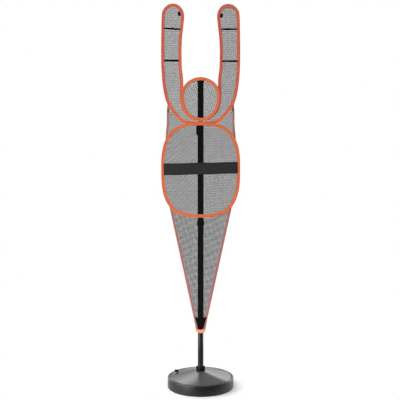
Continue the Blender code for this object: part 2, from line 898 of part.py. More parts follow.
def make_head(head, sections, mannequin):
    line = mirrored(thinned(head))
    make_hoop("head", line, FRONT_LAYER, sections, mannequin)
    make_net("head_net", line, FRONT_LAYER, mannequin)
    strip_layer = FRONT_LAYER + SHEET + GAP
    half, flare = HEAD_STRIP_WIDTH / 2, HEAD_STRIP_FLARE / 2
    bottom = room_in_hoop(line, half)[0]
    top = room_in_hoop(line, flare)[1]
    shoulder = top - HEAD_FLARE_HEIGHT
    outline = [(half, bottom), (half, shoulder), (flare, shoulder), (flare, top)]
    outline += flipped(outline)
    sheet("head_strip", outline, strip_layer, WEBBING, mannequin)

    front = strip_layer + SHEET / 2 + GAP
    inner = UPPER_RADIUS + GAP
    outer = inner + FABRIC
    pocket_bottom = tube_top() - POCKET_DEPTH
    roof = tube_top() + PLUG_FLANGE + 2 * GAP
    pocket = meshed(prism("pole_pocket", [d_outline(outer, front, outer)], pocket_bottom, roof + FABRIC))
    hollow = meshed(
        prism(
            "pocket_hollow",
            [d_outline(inner, front + FABRIC, inner)],
            pocket_bottom - FABRIC,
            roof,
        )
    )
    boolean(pocket, helper(hollow), "DIFFERENCE")
    placed(pocket, WEBBING, mannequin)


def make_torso(torso, sections, mannequin):
    line = mirrored(thinned(torso))
    make_hoop("torso", line, FRONT_LAYER, sections, mannequin)
    make_net("torso_net", line, FRONT_LAYER, mannequin)
    strip_layer = FRONT_LAYER + SHEET + GAP
    bottom, top = room_in_hoop(line, TORSO_STRIP_WIDTH / 2)
    make_strip("torso_strip", TORSO_STRIP_WIDTH / 2, bottom, top, strip_layer, mannequin)

    front = strip_layer + SHEET / 2 + GAP
    inner = UPPER_RADIUS + GAP
    outer = inner + FABRIC
    loop = d_outline(outer, front, outer)
    tab = [(-STRAP_TAB, front), (-STRAP_TAB, front + FABRIC), (-outer, front + FABRIC)]
    loop = [*loop[:-1], *reversed(tab)]
    strap = prism(
        "shoulder_strap",
        [loop, d_outline(inner, front + FABRIC, inner)],
        top - STRAP_HEIGHT,
        top,
    )
    placed(strap, WEBBING, mannequin)

    middle = TORSO_MIDDLE - CHEST_BAND_DROP
    make_strip(
        "chest_band",
        TORSO_HALF_WIDTH - CHEST_BAND_INSET,
        middle - CHEST_BAND_HEIGHT / 2,
        middle + CHEST_BAND_HEIGHT / 2,
        over_lips(FRONT_LAYER),
        mannequin,
    )


def over_lips(layer):
    """Depth of a sheet that lies on a hoop's lips, in front of them, with its ends lapped over."""
    rise = (BAND_THICKEST - BAND_LIP) * MOST_LAP / (BAND_WIDTH / 2 + WIRE_OFFSET - WIRE_RADIUS)
    return layer - BAND_LIP - rise - GAP - SHEET / 2


def make_arms(arms, sections, mannequin):
    half = thinned(arms)
    make_hoop("arms", mirrored(half), ARM_LAYER, sections, mannequin)
    net = [p for p in half if p[0] > ARM_NET_END]
    middle = beside_torso([HAND_CENTRE])[0][0] + NET_PITCH / 4
    make_net("right_arm_net", net, ARM_LAYER, mannequin, middle)
    make_net("left_arm_net", flipped(net), ARM_LAYER, mannequin, -middle)

    strap_layer = over_lips(ARM_LAYER)
    for place, rise in (("upper", UPPER_STRAP_RISE), ("lower", LOWER_STRAP_RISE)):
        height = TORSO_TOP + rise
        outer, inner = crossings(half, height)
        inset = BAND_WIDTH / 2 - ARM_STRAP_LAP
        low, high = height - ARM_STRAP_WIDTH / 2, height + ARM_STRAP_WIDTH / 2
        outline = [(inner + inset, low), (outer - inset, low), (outer - inset, high), (inner + inset, high)]
        sheet(f"right_{place}_arm_strap", outline, strap_layer, WEBBING, mannequin)
        sheet(f"left_{place}_arm_strap", flipped(outline), strap_layer, WEBBING, mannequin)

    across, up = HAND_TAB[0] / 2, HAND_TAB[1] / 2
    cos, sin = math.cos(HAND_TAB_TILT), math.sin(HAND_TAB_TILT)
    corners = [(across, -up), (across, up), (-across, up), (-across, -up)]
    x, z = beside_torso([HAND_TAB_PLACE])[0]
    tab = [(x + u * cos + v * sin, z - u * sin + v * cos) for u, v in corners]
    sheet("right_hand_tab", tab, strap_layer, WEBBING, mannequin)
    sheet("left_hand_tab", flipped(tab), strap_layer, WEBBING, mannequin)


def make_shoulders(arms, torso, tape, mannequin):
    """The net between an arm and the torso, with a taped free edge."""
    ends = beside_torso(SHOULDER_EDGE)
    edge = smooth_line(ends, ends[0], ends[-1])
    tip = TORSO_HALF_WIDTH - SHOULDER_TIP
    torso_line = thinned(torso)
    arm_half = thinned(arms)
    arm_outside = arm_half[: len(arm_half) // 2]
    beside_band = BAND_WIDTH / 2 + 2 * GAP
    free = thinned(clear_of(edge, arm_outside, by=beside_band))
    top, bottom = free[0], free[-1]
    arm_edge = offset_line(arm_outside, beside_band, closed=False)
    under_arm = [p for p in arm_edge if tip < p[0] < top[0] and p[1] < top[1]]
    on_torso = [p for p in torso_line if tip < p[0] < bottom[0] and p[1] > bottom[1]]
    outline = [(float(x), float(z)) for x, z in [*on_torso, *under_arm, *free]][::-1]
    net_middle = TORSO_HALF_WIDTH - SHOULDER_NET_MIDDLE
    for side, edges, middle in (
        ("right", outline, net_middle),
        ("left", flipped(outline), -net_middle),
    ):
        make_net(f"{side}_shoulder_net", edges, SHEET_LAYER, mannequin, middle, EDGE_TAPE_WIDTH / 4)
    reach = (BAND_WIDTH + EDGE_TAPE_WIDTH) / 2 + 2 * GAP
    taped = thinned(clear_of(edge, arm_outside, torso_line, by=reach))[::-1]
    swept("right_shoulder_tape", taped, tape, SHEET_LAYER, EDGE_TAPE, mannequin, closed=False)
    swept("left_shoulder_tape", flipped(taped), tape, SHEET_LAYER, EDGE_TAPE, mannequin, closed=False)


def straight(a, b):
    shares = np.linspace(0, 1, SIDE_STEPS)
    return [(a[0] + (b[0] - a[0]) * t, a[1] + (b[1] - a[1]) * t) for t in shares]


def make_leg(torso, tape, mannequin):
    torso_line = thinned(torso)
    hip = (TORSO_HALF_WIDTH - LEG_TOP[0], TORSO_BOTTOM + LEG_TOP[1])
    top_edge = [p for p in torso_line if p[0] < hip[0] and p[1] < TORSO_MIDDLE]
    outline = [LEG_END, LEG_KNEE, hip, *reversed(top_edge[1:])]
    outline = [(float(x), float(z)) for x, z in outline]
    outline = outline + [(0.0, float(top_edge[0][1]))] + flipped(outline)
    make_net("leg_net", outline, SHEET_LAYER, mannequin)

    side = [*straight(LEG_END, LEG_KNEE), *straight(LEG_KNEE, hip)[1:]]
    reach = (BAND_WIDTH + EDGE_TAPE_WIDTH) / 2 + 2 * GAP
    kept = clear_of(side, torso_line, by=reach)
    taped = [kept[0], LEG_KNEE, kept[-1]]
    swept("right_leg_tape", taped, tape, SHEET_LAYER, EDGE_TAPE, mannequin, closed=False)
    swept("left_leg_tape", flipped(taped), tape, SHEET_LAYER, EDGE_TAPE, mannequin, closed=False)

    strip_layer = SHEET_LAYER + SHEET + GAP
    strip_top = TORSO_BOTTOM + BAND_WIDTH / 2
    make_strip("leg_strip", LEG_STRIP_WIDTH / 2, LEG_KNEE[1], strip_top, strip_layer, mannequin)

    inset = EDGE_TAPE_WIDTH / 2 + GAP
    knee, end = LEG_KNEE[0] - inset, LEG_END[0] - inset
    pouch = [
        *arc((0, LEG_END[1] + POUCH_INSET + end), end, 270, 360, POUCH_ROUND_STEPS),
        (knee, LEG_KNEE[1]),
        (knee, LEG_KNEE[1] + POUCH_NOTCH),
        (LEG_STRIP_WIDTH / 2, LEG_KNEE[1]),
    ]
    sheet("leg_pouch", pouch + flipped(pouch[1:]), SHEET_LAYER - SHEET - GAP, WEBBING, mannequin)

    lean = math.atan2(LEG_KNEE[0] - LEG_END[0], LEG_KNEE[1] - LEG_END[1])
    hem_top = LEG_END[1] - EDGE_TAPE_WIDTH / 2 * math.sin(lean) - GAP
    front = SHEET_LAYER + EDGE_TAPE_THICKNESS / 2 + GAP
    inner = LOWER_RADIUS + 3 * GAP
    outer = inner + SHEET
    sleeve = [
        (SLEEVE_HALF, front),
        (SLEEVE_HALF, front + SHEET),
        (outer, front + SHEET),
        *arc((0, 0), outer, 0, 180),
        (-outer, front + SHEET),
        (-SLEEVE_HALF, front + SHEET),
        (-SLEEVE_HALF, front),
        (-inner, front),
        *arc((0, 0), inner, 180, 0),
        (inner, front),
    ]
    sleeve_top = LEG_KNEE[1] - SLEEVE_INSET
    placed(prism("leg_sleeve", [sleeve], hem_top + GAP, sleeve_top), WEBBING, mannequin)

    hem_front = SHEET_LAYER - SHEET / 2
    hem_outer = inner + FABRIC
    hem = prism(
        "mouth_hem",
        [
            [(HEM_HALF, hem_front), *arc((0, 0), hem_outer + GAP, 0, 180), (-HEM_HALF, hem_front)],
            d_outline(inner, hem_front + FABRIC, inner + FABRIC),
        ],
        hem_top - HEM_HEIGHT,
        hem_top,
    )
    placed(hem, ORANGE_TAPE, mannequin)


def main():
    base = axis_empty("base_axis", (0, 0, 0))
    cap_axis = axis_empty("fill_cap_axis", (*fill_place(), neck_top()), base)
    lower = axis_empty("pole_axis", (0, 0, WELL_FLOOR), base)
    collar_axis = axis_empty("twist_collar_axis", (0, 0, COLLAR_BOTTOM), lower)
    mannequin = axis_empty("height_slide_axis", (0, 0, LOWER_TOP), lower)
    make_base(base)
    make_fill_cap(cap_axis)
    make_lower_pole(lower)
    make_twist_collar(collar_axis)
    make_upper_pole(mannequin)

    head = hoop_half(
        HEAD_HALF_WIDTH, HEAD_TOP, HEAD_MIDDLE, HEAD_BOTTOM, HEAD_UPPER_POWER, HEAD_LOWER_POWER
    )
    torso = hoop_half(
        TORSO_HALF_WIDTH, TORSO_TOP, TORSO_MIDDLE, TORSO_BOTTOM, TORSO_UPPER_POWER, TORSO_LOWER_POWER
    )
    arms = arms_half(head)
    sections = (band_section(), wire_section())
    tape = tape_section()
    make_head(head, sections, mannequin)
    make_torso(torso, sections, mannequin)
    make_arms(arms, sections, mannequin)
    make_shoulders(arms, torso, tape, mannequin)
    make_leg(torso, tape, mannequin)


main()
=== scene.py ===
"""Looks of a net defender on a telescoping pole: tape-bound spring hoops, net, webbing, fillable base."""

import math

import bmesh
import bpy
import numpy as np
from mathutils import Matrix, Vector


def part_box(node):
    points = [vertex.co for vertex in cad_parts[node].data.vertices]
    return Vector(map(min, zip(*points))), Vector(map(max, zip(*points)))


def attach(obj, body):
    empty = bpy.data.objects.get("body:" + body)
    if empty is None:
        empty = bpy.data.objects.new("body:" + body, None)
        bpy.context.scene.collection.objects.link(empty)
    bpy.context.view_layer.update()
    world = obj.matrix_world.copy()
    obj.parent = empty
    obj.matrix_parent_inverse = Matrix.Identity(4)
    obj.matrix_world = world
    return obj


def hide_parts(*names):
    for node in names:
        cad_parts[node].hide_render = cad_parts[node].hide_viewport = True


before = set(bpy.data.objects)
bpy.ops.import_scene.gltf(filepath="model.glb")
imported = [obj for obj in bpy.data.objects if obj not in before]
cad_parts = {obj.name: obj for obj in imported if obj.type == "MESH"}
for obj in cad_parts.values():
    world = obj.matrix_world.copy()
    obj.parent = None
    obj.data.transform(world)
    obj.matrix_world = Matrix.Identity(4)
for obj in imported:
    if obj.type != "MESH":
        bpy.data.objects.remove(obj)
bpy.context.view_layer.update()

# Layers and widths of the sewn parts, as in the frame.
BAND_WIDTH = 0.020
TAPE = 0.0007
CLOTH = 0.0012
GAP = 0.0003
EDGE_TAPE = 0.8 * TAPE
EDGE_TAPE_WIDTH = 0.0125
EDGE_TAPE_DEPTH = 0.0016

# Hoops: what a superellipse needs beside its box.
TORSO_LOWER_HEIGHT = 0.2873
TORSO_UPPER_POWER = 2.74
TORSO_LOWER_POWER = 2.92
HEAD_LOWER_HEIGHT = 0.1453
HEAD_UPPER_POWER = 1.93
HEAD_LOWER_POWER = 2.17
DENSE_STEPS = 240
CURVE_STEPS = 12
HOOP_STEP = 0.004

# Arms' hoop: each point is so far inside the torso's widest place, and so far above its top.
ARM_OUTSIDE = (
    (0.1742, 0.0055),
    (0.1224, 0.0174),
    (0.0866, 0.0522),
    (0.0517, 0.0959),
    (0.0278, 0.1446),
    (0.0099, 0.2291),
    (0.0009, 0.3384),
    (-0.0006, 0.4467),
    (0.0003, 0.5441),
)
HAND_CENTRE = (0.0612, 0.6613)
HAND_RADIUS = 0.058
ARM_INSIDE = (
    (0.1155, 0.6047),
    (0.1065, 0.5192),
    (0.1035, 0.4348),
    (0.1055, 0.3384),
    (0.1135, 0.2653),
)
ARM_HEAD_STEP = 0.006
ARM_HEAD_RISE = 0.015
ARM_NET_END = 0.024
HAND_STEPS = 5
GUIDE_POINTS = 12
RIGHT_HAND = {"lift": -0.006, "peak": 0.0}
LEFT_HAND = {"lift": -0.004, "peak": 0.004}
HAND_LIFT_FROM = 0.45

# Free edges of the shoulders, placed as the arms are, and of the leg.
SHOULDER_EDGE = (
    (0.0352, 0.1300),
    (0.0336, 0.1144),
    (0.0306, 0.0717),
    (0.0306, 0.0111),
    (0.0281, -0.0256),
    (0.0236, -0.0793),
    (0.0240, -0.0930),
)
SHOULDER_TIP = 0.131
LEG_TOP = (0.043, 0.0713)
LEG_KNEE = (0.035, 0.4194)
LEG_END = (0.0225, 0.3519)

# Net: a lattice of six-sided gaps in staggered rows, as knitted mesh has.
NET_PITCH = 0.0046
NET_STRETCH = 1.12
NET_THICKNESS = 0.0009
UNEVEN = 0.10
PLAIN_KNIT = (0.04, 0.0125, 0.105, 0.0140, 0.0)
HEAD_KNIT = (0.15, 0.0135, 0.15, 0.0150, 0.4)
RIGHT_TORSO_KNIT = (0.025, 0.0250, 0.08, 0.0152, 0.05)
LEFT_TORSO_KNIT = (0.035, 0.0180, 0.058, 0.0290, 0.9)
LEG_KNIT = (0.05, 0.0300, 0.06, 0.0400, 0.35)
SLACK_MARGIN = 0.05
HEAD_GAP = 0.59
ARM_GAP = 0.585
RIGHT_ARM_GAP = 0.572
LEFT_ARM_GAP = 0.592
TORSO_GAP = 0.555
SHOULDER_GAP = 0.565
LEG_GAP = 0.525
ARM_BEND = 0.028
TORSO_BEND = 0.012

# Straps and strips.
HEAD_STRIP_WIDTH = 0.036
HEAD_STRIP_FLARE = 0.043
HEAD_FLARE_HEIGHT = 0.010
TORSO_STRIP_WIDTH = 0.036
LEG_STRIP_WIDTH = 0.035
COLLAR_PATCH_WIDTH = 0.043
STRIP_LAP = 0.006
CHEST_TILT = math.radians(1.3)
ARM_STRAP_WIDTH = 0.011
HAND_TAB = (0.016, 0.024)
HAND_TAB_TILT = math.radians(18)
HEM_SMILE = 0.009
POUCH_NOTCH = 0.0095
POUCH_LAP = 0.0015

# Stitching.
STITCH_PITCH = 0.0036
STITCH_LENGTH = 0.0028
STITCH_WIDTH = 0.0006
STITCH_SIDES = 5
STITCH_SHOULDER = 0.6
STITCH_FLATNESS = 0.8

# How many sides a turned piece has.
TUBE_STEPS = 96
BASE_STEPS = 180

# Camera, as the photograph was taken.
CAMERA_DISTANCE = 3.52
CAMERA_TARGET = (-0.0038, 0.0, 1.1328)
VIEW_WIDTH = 2.436
SENSOR = 36.0


# Outlines


def arc(centre, radius, start, end, steps):
    """Points round an arc, both ends included, from angle start to angle end in degrees."""
    turns = np.radians(np.linspace(start, end, steps + 1))
    return [(centre[0] + radius * math.cos(a), centre[1] + radius * math.sin(a)) for a in turns]


def smooth_line(points, before, after, steps=CURVE_STEPS):
    """A Catmull-Rom line through the points, whose ends are steered by before and after."""
    guides = np.array([before, *points, after], float)
    line = []
    for a, b, c, d in zip(guides, guides[1:], guides[2:], guides[3:]):
        for t in np.arange(steps) / steps:
            line.append(
                0.5 * (2 * b + (c - a) * t + (2 * a - 5 * b + 4 * c - d) * t**2
                       + (3 * b - a - 3 * c + d) * t**3)
            )
    return np.array([*line, guides[-2]])


def open_curve(points, steps):
    """A smooth line through the points, with straight ends."""
    points = [np.array(p, float) for p in points]
    return smooth_line(points, 2 * points[0] - points[1], 2 * points[-1] - points[-2], steps)


def evenly(line, step, closed=True, carried=None):
    """The line with points at even steps, about so far apart, or what it carries at those points."""
    line = np.array(line, float)
    carried = line if carried is None else np.broadcast_to(np.array(carried, float), line.shape)
    if closed:
        line, carried = np.vstack([line, line[:1]]), np.vstack([carried, carried[:1]])
    run = np.concatenate([[0], np.cumsum(np.linalg.norm(np.diff(line, axis=0), axis=1))])
    stops = np.linspace(0, run[-1], max(2, round(run[-1] / step)) + 1)
    if closed:
        stops = stops[:-1]
    return np.stack([np.interp(stops, run, column) for column in carried.T], axis=1)


def directions(line, closed=True):
    """Unit vectors along a line of points."""
    line = np.array(line, float)
    runs = np.roll(line, -1, 0) - np.roll(line, 1, 0) if closed else np.gradient(line, axis=0)
    return runs / np.linalg.norm(runs, axis=1)[:, None]


def sideways(line, closed=True):
    """Unit vectors to the right of a flat line's direction, which is outward on a closed one."""
    along = directions(line, closed)
    return np.stack([along[:, 1], -along[:, 0]], axis=1)


def shifted(line, distance, closed=True):
    return np.array(line, float) + distance * sideways(line, closed)


def length(line, closed=True):
    line = np.array(line, float)
    if closed:
        line = np.vstack([line, line[:1]])
    return float(np.linalg.norm(np.diff(line, axis=0), axis=1).sum())


def distances(points, line):
    """How far each point is from the open line."""
    points = np.array(points, float)[:, None]
    a, b = np.array(line[:-1], float)[None], np.array(line[1:], float)[None]
    along = b - a
    share = np.clip(((points - a) * along).sum(-1) / (along**2).sum(-1), 0, 1)
    return np.linalg.norm(points - a - share[..., None] * along, axis=-1).min(axis=1)


def inside(points, outline):
    """Whether each point is inside the closed outline."""
    x, z = np.array(points, float).T
    hit = np.zeros(len(x), bool)
    for (ax, az), (bx, bz) in zip(outline, [*outline[1:], outline[0]]):
        if az != bz:
            crosses = (az > z) != (bz > z)
            hit ^= crosses & (x < (bx - ax) * (z - az) / (bz - az) + ax)
    return hit


def flipped(line):
    return [(-x, z) for x, z in reversed(list(line))]


def hoop_half(half_width, top, middle, bottom, upper_power, lower_power):
    """The right half of a hoop's line, bottom to top: two superellipses that meet where it is widest."""
    line = []
    for angle in np.linspace(-math.pi / 2, math.pi / 2, DENSE_STEPS):
        rise = math.sin(angle)
        power = upper_power if rise > 0 else lower_power
        height = top - middle if rise > 0 else middle - bottom
        line.append(
            (
                half_width * abs(math.cos(angle)) ** (2 / power),
                middle + height * math.copysign(abs(rise) ** (2 / power), rise),
            )
        )
    return line


def hoop_from_box(node, lower_height, upper_power, lower_power):
    """The right half of the hoop inside a binding's box."""
    low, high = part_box(node)
    top, bottom = high.z - BAND_WIDTH / 2, low.z + BAND_WIDTH / 2
    half = high.x - BAND_WIDTH / 2
    return hoop_half(half, top, bottom + lower_height, bottom, upper_power, lower_power)


def whole(half):
    """A closed line from its right half, whose ends lie on the middle plane."""
    return evenly([*half, *flipped(half[1:-1])], HOOP_STEP)


head_half = hoop_from_box("head_binding", HEAD_LOWER_HEIGHT, HEAD_UPPER_POWER, HEAD_LOWER_POWER)
torso_half = hoop_from_box("torso_binding", TORSO_LOWER_HEIGHT, TORSO_UPPER_POWER, TORSO_LOWER_POWER)
HEAD_HALF, HEAD_BOTTOM = max(x for x, z in head_half), head_half[0][1]
HEAD_MIDDLE = HEAD_BOTTOM + HEAD_LOWER_HEIGHT
TORSO_HALF = max(x for x, z in torso_half)
TORSO_BOTTOM, TORSO_TOP = torso_half[0][1], torso_half[-1][1]


def middle_of(node, axis):
    low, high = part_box(node)
    return (low[axis] + high[axis]) / 2


FRONT_LAYER = middle_of("torso_binding", 1)
ARM_LAYER = middle_of("arms_binding", 1)
SHEET_LAYER = middle_of("leg_net", 1)


def beside_torso(points):
    return [(TORSO_HALF - inset, TORSO_TOP + rise) for inset, rise in points]


def arm_side(lift, peak):
    """One side of the arms' line, neck to head, with its hand raised a little and drawn to a point."""
    centre = beside_torso([HAND_CENTRE])[0]
    tip = [
        (x, z + peak * ((z - centre[1]) / HAND_RADIUS) ** 6)
        for x, z in arc(centre, HAND_RADIUS, 0, 180, HAND_STEPS)
    ]
    points = [*beside_torso(ARM_OUTSIDE), *tip, *beside_torso(ARM_INSIDE)]
    raised = []
    for x, z in points:
        share = (z - TORSO_TOP - HAND_LIFT_FROM) / (centre[1] - TORSO_TOP - HAND_LIFT_FROM)
        raised.append((x, z + lift * min(max(share, 0), 1)))
    under_head = [
        (x * (1 + ARM_HEAD_STEP / HEAD_HALF), z)
        for x, z in head_half[:: DENSE_STEPS // GUIDE_POINTS]
        if z < HEAD_MIDDLE + ARM_HEAD_RISE
    ]
    neck = (0.0, HEAD_BOTTOM - BAND_WIDTH - GAP)
    points = [neck, *raised, *reversed(under_head)]
    points[-1] = (0.0, points[-1][1])
    return smooth_line(points, (-points[1][0], points[1][1]), (-points[-2][0], points[-2][1]))


right_arm = arm_side(**RIGHT_HAND)
left_arm = arm_side(**LEFT_HAND)


# Meshes

WELD = 0.00001
SHARP_TURN = math.radians(38)
CORNER_STEPS = 4
BEVEL_STEPS = 3
ROUND_STEPS = 3


def volume(points, groups):
    """Six times the volume that the faces enclose: below zero where they point inward."""
    total = 0.0
    for faces in groups:
        for k in range(1, faces.shape[1] - 1):
            a, b, c = (points[faces[:, i]] for i in (0, k, k + 1))
            total += float((a * np.cross(b, c)).sum())
    return total


def add_mesh(name, points, groups, uvs=None):
    """An object from points and groups of faces, each an array with one row of corners a face."""
    points = np.array(points, float)
    groups = [np.array(g, int) for g in groups if len(g)]
    if volume(points, groups) < 0:
        groups = [g[:, ::-1] for g in groups]
        uvs = None if uvs is None else [u[:, ::-1] for u in uvs]
    corners = np.concatenate([g.ravel() for g in groups])
    sizes = np.concatenate([np.full(len(g), g.shape[1]) for g in groups])
    mesh = bpy.data.meshes.new(name)
    mesh.vertices.add(len(points))
    mesh.vertices.foreach_set("co", points.astype(np.float32).ravel())
    mesh.loops.add(len(corners))
    mesh.loops.foreach_set("vertex_index", corners.astype(np.int32))
    mesh.polygons.add(len(sizes))
    mesh.polygons.foreach_set("loop_start", (np.cumsum(sizes) - sizes).astype(np.int32))
    if uvs is not None:
        layer = mesh.uv_layers.new(name="UVMap")
        layer.data.foreach_set("uv", np.concatenate([u.ravel() for u in uvs]).astype(np.float32))
    mesh.update(calc_edges=True)
    mesh.validate()
    mesh.shade_smooth()
    obj = bpy.data.objects.new(name, mesh)
    bpy.context.scene.collection.objects.link(obj)
    return obj


def sweep(name, line, across, deep, section, closed=True):
    """A closed section carried along a line of points. Each of its corners lies so far along the
    vector across and so far along the vector deep; there may be one section for each point."""
    line = np.array(line, float)
    across = np.broadcast_to(np.array(across, float), line.shape)
    deep = np.broadcast_to(np.array(deep, float), line.shape)
    section = np.array(section, float)
    rings, corners = len(line), section.shape[-2]
    section = np.broadcast_to(section, (rings, corners, 2))
    points = line[:, None] + section[..., :1] * across[:, None] + section[..., 1:] * deep[:, None]
    i, j = np.meshgrid(np.arange(rings if closed else rings - 1), np.arange(corners), indexing="ij")
    i_next, j_next = (i + 1) % rings, (j + 1) % corners
    quads = np.stack(
        [i * corners + j, i_next * corners + j, i_next * corners + j_next, i * corners + j_next], -1
    )
    ends = np.vstack([line, line[:1]])
    run = np.concatenate([[0], np.cumsum(np.linalg.norm(np.diff(ends, axis=0), axis=1))])
    loop = np.vstack([section[0], section[0][:1]])
    girth = np.concatenate([[0], np.cumsum(np.linalg.norm(np.diff(loop, axis=0), axis=1))])
    if run[-1] == 0:
        run = np.linspace(0, math.tau * np.abs(section[0][:, 0]).max(), rings + 1)
    uv = np.stack(
        [
            np.stack([run[i + a], girth[j + b]], -1)
            for a, b in ((0, 0), (1, 0), (1, 1), (0, 1))
        ],
        -2,
    )
    groups, uvs = [quads.reshape(-1, 4)], [uv.reshape(-1, 4, 2)]
    if not closed:
        first = np.arange(corners)
        groups.append(np.stack([first, (rings - 1) * corners + first[::-1]]))
        uvs.append(np.zeros((2, corners, 2)))
    return add_mesh(name, points.reshape(-1, 3), groups, uvs)


def corner(before, place, after, radius):
    """A rounded corner in a profile: points of a curve that leaves and meets its straight sides."""
    before, place, after = (np.array(p, float) for p in (before, place, after))
    a = place + (before - place) / np.linalg.norm(before - place) * radius
    b = place + (after - place) / np.linalg.norm(after - place) * radius
    shares = np.linspace(0, 1, CORNER_STEPS + 1)[:, None]
    return ((1 - shares) ** 2 * a + 2 * shares * (1 - shares) * place + shares**2 * b).tolist()


def rounded_profile(points):
    """A closed profile, whose entries are (radius, height, rounding)."""
    line = []
    for k, (r, z, rounding) in enumerate(points):
        before, after = points[k - 1][:2], points[(k + 1) % len(points)][:2]
        line += corner(before, (r, z), after, rounding) if rounding else [[r, z]]
    return np.array(line, float)


def turned(name, points, steps=TUBE_STEPS, place=(0, 0), swell=None):
    """A closed profile of radii, heights and roundings turned round an upright axis. swell changes
    the radii: it takes radii, heights and the turn, and gives what to add."""
    profile = rounded_profile(points)
    turns = np.arange(steps) / steps * math.tau
    around = np.stack([np.cos(turns), np.sin(turns), np.zeros(steps)], axis=1)
    sections = np.repeat(profile[None], steps, axis=0)
    if swell:
        sections[..., 0] += np.array([swell(*profile.T, turn) for turn in turns])
    line = np.repeat([[*place, 0.0]], steps, axis=0)
    obj = sweep(name, line, around, (0, 0, 1), sections)
    if (profile[:, 0] < WELD).any():
        weld(obj)
    sharpen(obj)
    return obj


def weld(obj):
    mesh = bmesh.new()
    mesh.from_mesh(obj.data)
    bmesh.ops.remove_doubles(mesh, verts=mesh.verts, dist=WELD)
    bmesh.ops.dissolve_degenerate(mesh, edges=mesh.edges, dist=WELD)
    mesh.to_mesh(obj.data)
    mesh.free()


def sharpen(obj):
    obj.data.shade_smooth()
    obj.data.set_sharp_from_angle(angle=SHARP_TURN)


def settle(obj):
    """Applies the object's modifiers to its mesh."""
    graph = bpy.context.evaluated_depsgraph_get()
    mesh = bpy.data.meshes.new_from_object(obj.evaluated_get(graph))
    obj.modifiers.clear()
    obj.data = mesh
    return obj


def boolean(obj, other, operation):
    """Joins another object to this one or cuts it out, and removes the other."""
    step = obj.modifiers.new(operation.lower(), "BOOLEAN")
    step.operation = operation
    step.solver = "EXACT"
    step.object = other
    settle(obj)
    bpy.data.objects.remove(other)


def rounded_box(name, low, high, radius):
    """A box with rounded edges."""
    low, high = Vector(low), Vector(high)
    mesh = bmesh.new()
    bmesh.ops.create_cube(mesh, size=1)
    for vert in mesh.verts:
        vert.co = Vector([(a + b) / 2 + c * (b - a) for a, b, c in zip(low, high, vert.co)])
    bmesh.ops.bevel(
        mesh, geom=mesh.edges[:], offset=radius, segments=BEVEL_STEPS, profile=0.5, affect="EDGES"
    )
    data = bpy.data.meshes.new(name)
    mesh.to_mesh(data)
    mesh.free()
    obj = bpy.data.objects.new(name, data)
    bpy.context.scene.collection.objects.link(obj)
    return obj


def slab(width, thickness, splits=10):
    """The section of a flat strip with round edges: width across, thickness deep."""
    radius = thickness / 2
    flat = np.linspace(-width / 2 + radius, width / 2 - radius, splits + 1)[1:-1]
    right = arc((width / 2 - radius, 0), radius, -90, 90, ROUND_STEPS)
    left = arc((radius - width / 2, 0), radius, 90, 270, ROUND_STEPS)
    return np.array(
        [*[(u, -radius) for u in flat], *right, *[(u, radius) for u in flat[::-1]], *left]
    )


def upright(line, y):
    """A flat line of places across and up, stood at a depth."""
    line = np.array(line, float)
    return np.stack([line[:, 0], np.full(len(line), y), line[:, 1]], axis=1)


def stitch_shape():
    """One stitch: a small grain along the first axis, its points and three-cornered faces."""
    half, width = STITCH_LENGTH / 2, STITCH_WIDTH / 2
    k = np.arange(STITCH_SIDES)
    turns = k * math.tau / STITCH_SIDES
    ring = np.stack([np.cos(turns), STITCH_FLATNESS * np.sin(turns)], axis=1) * width
    points = np.vstack(
        [np.insert(ring, 0, side * STITCH_SHOULDER * half, axis=1) for side in (-1, 1)]
        + [[[side * half, 0, -width / 2] for side in (-1, 1)]]
    )
    after = (k + 1) % STITCH_SIDES
    far, far_after = k + STITCH_SIDES, after + STITCH_SIDES
    tip, far_tip = (np.full(STITCH_SIDES, 2 * STITCH_SIDES + end) for end in (0, 1))
    faces = ((k, far, far_after), (k, far_after, after), (after, tip, k), (far, far_tip, far_after))
    return points, np.vstack([np.stack(face, 1) for face in faces])


def stitching(name, rows, look):
    """Stitches along rows; each row is points, their directions and the ways out of the cloth."""
    shape, faces = stitch_shape()
    spots = np.vstack([spots for spots, along, out in rows])
    along = np.vstack([np.broadcast_to(along, spots.shape) for spots, along, out in rows])
    out = np.vstack([np.broadcast_to(out, spots.shape) for spots, along, out in rows])
    across = np.cross(out, along)
    points = (
        spots[:, None]
        + shape[None, :, :1] * along[:, None]
        + shape[None, :, 1:2] * across[:, None]
        + shape[None, :, 2:] * out[:, None]
    )
    steps = (np.arange(len(spots)) * len(shape))[:, None, None]
    obj = add_mesh(name, points.reshape(-1, 3), [(faces[None] + steps).reshape(-1, 3)])
    return dress(obj, look, "mannequin")


def row(line, out, closed=False):
    """A row of stitches along a line in space. out is the way out of the cloth, or one a point."""
    spots = evenly(line, STITCH_PITCH, closed)
    out = evenly(line, STITCH_PITCH, closed, out)
    if not closed:
        spots, out = (spots[1:] + spots[:-1]) / 2, (out[1:] + out[:-1]) / 2
    return spots, directions(spots, closed), out / np.linalg.norm(out, axis=1)[:, None]


def dress(obj, look, body):
    """Gives a piece its material and the body that it rides on."""
    obj.data.materials.clear()
    obj.data.materials.append(look)
    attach(obj, body)
    return obj

# Materials

# Each noise: its scale, its detail and, where it is drawn out, how it is stretched along each axis.
WEAR = (9.0, 4.0)
FUZZ = (420.0, 2.0)
TWIST = (1800.0, 1.0)
FIBRES = (1500.0, 2.0, (1.0, 1.0, 2.5))
CLOUDS = (14.0, 5.0)
MARKS = (60.0, 6.0, (1.0, 6.0, 1.0))
TANK_GRAIN = (900.0, 2.0)
PEEL = (240.0, 2.0)
SCUFFS = (30.0, 6.0, (1.0, 1.0, 14.0))
STREAKS = (300.0, 3.0)

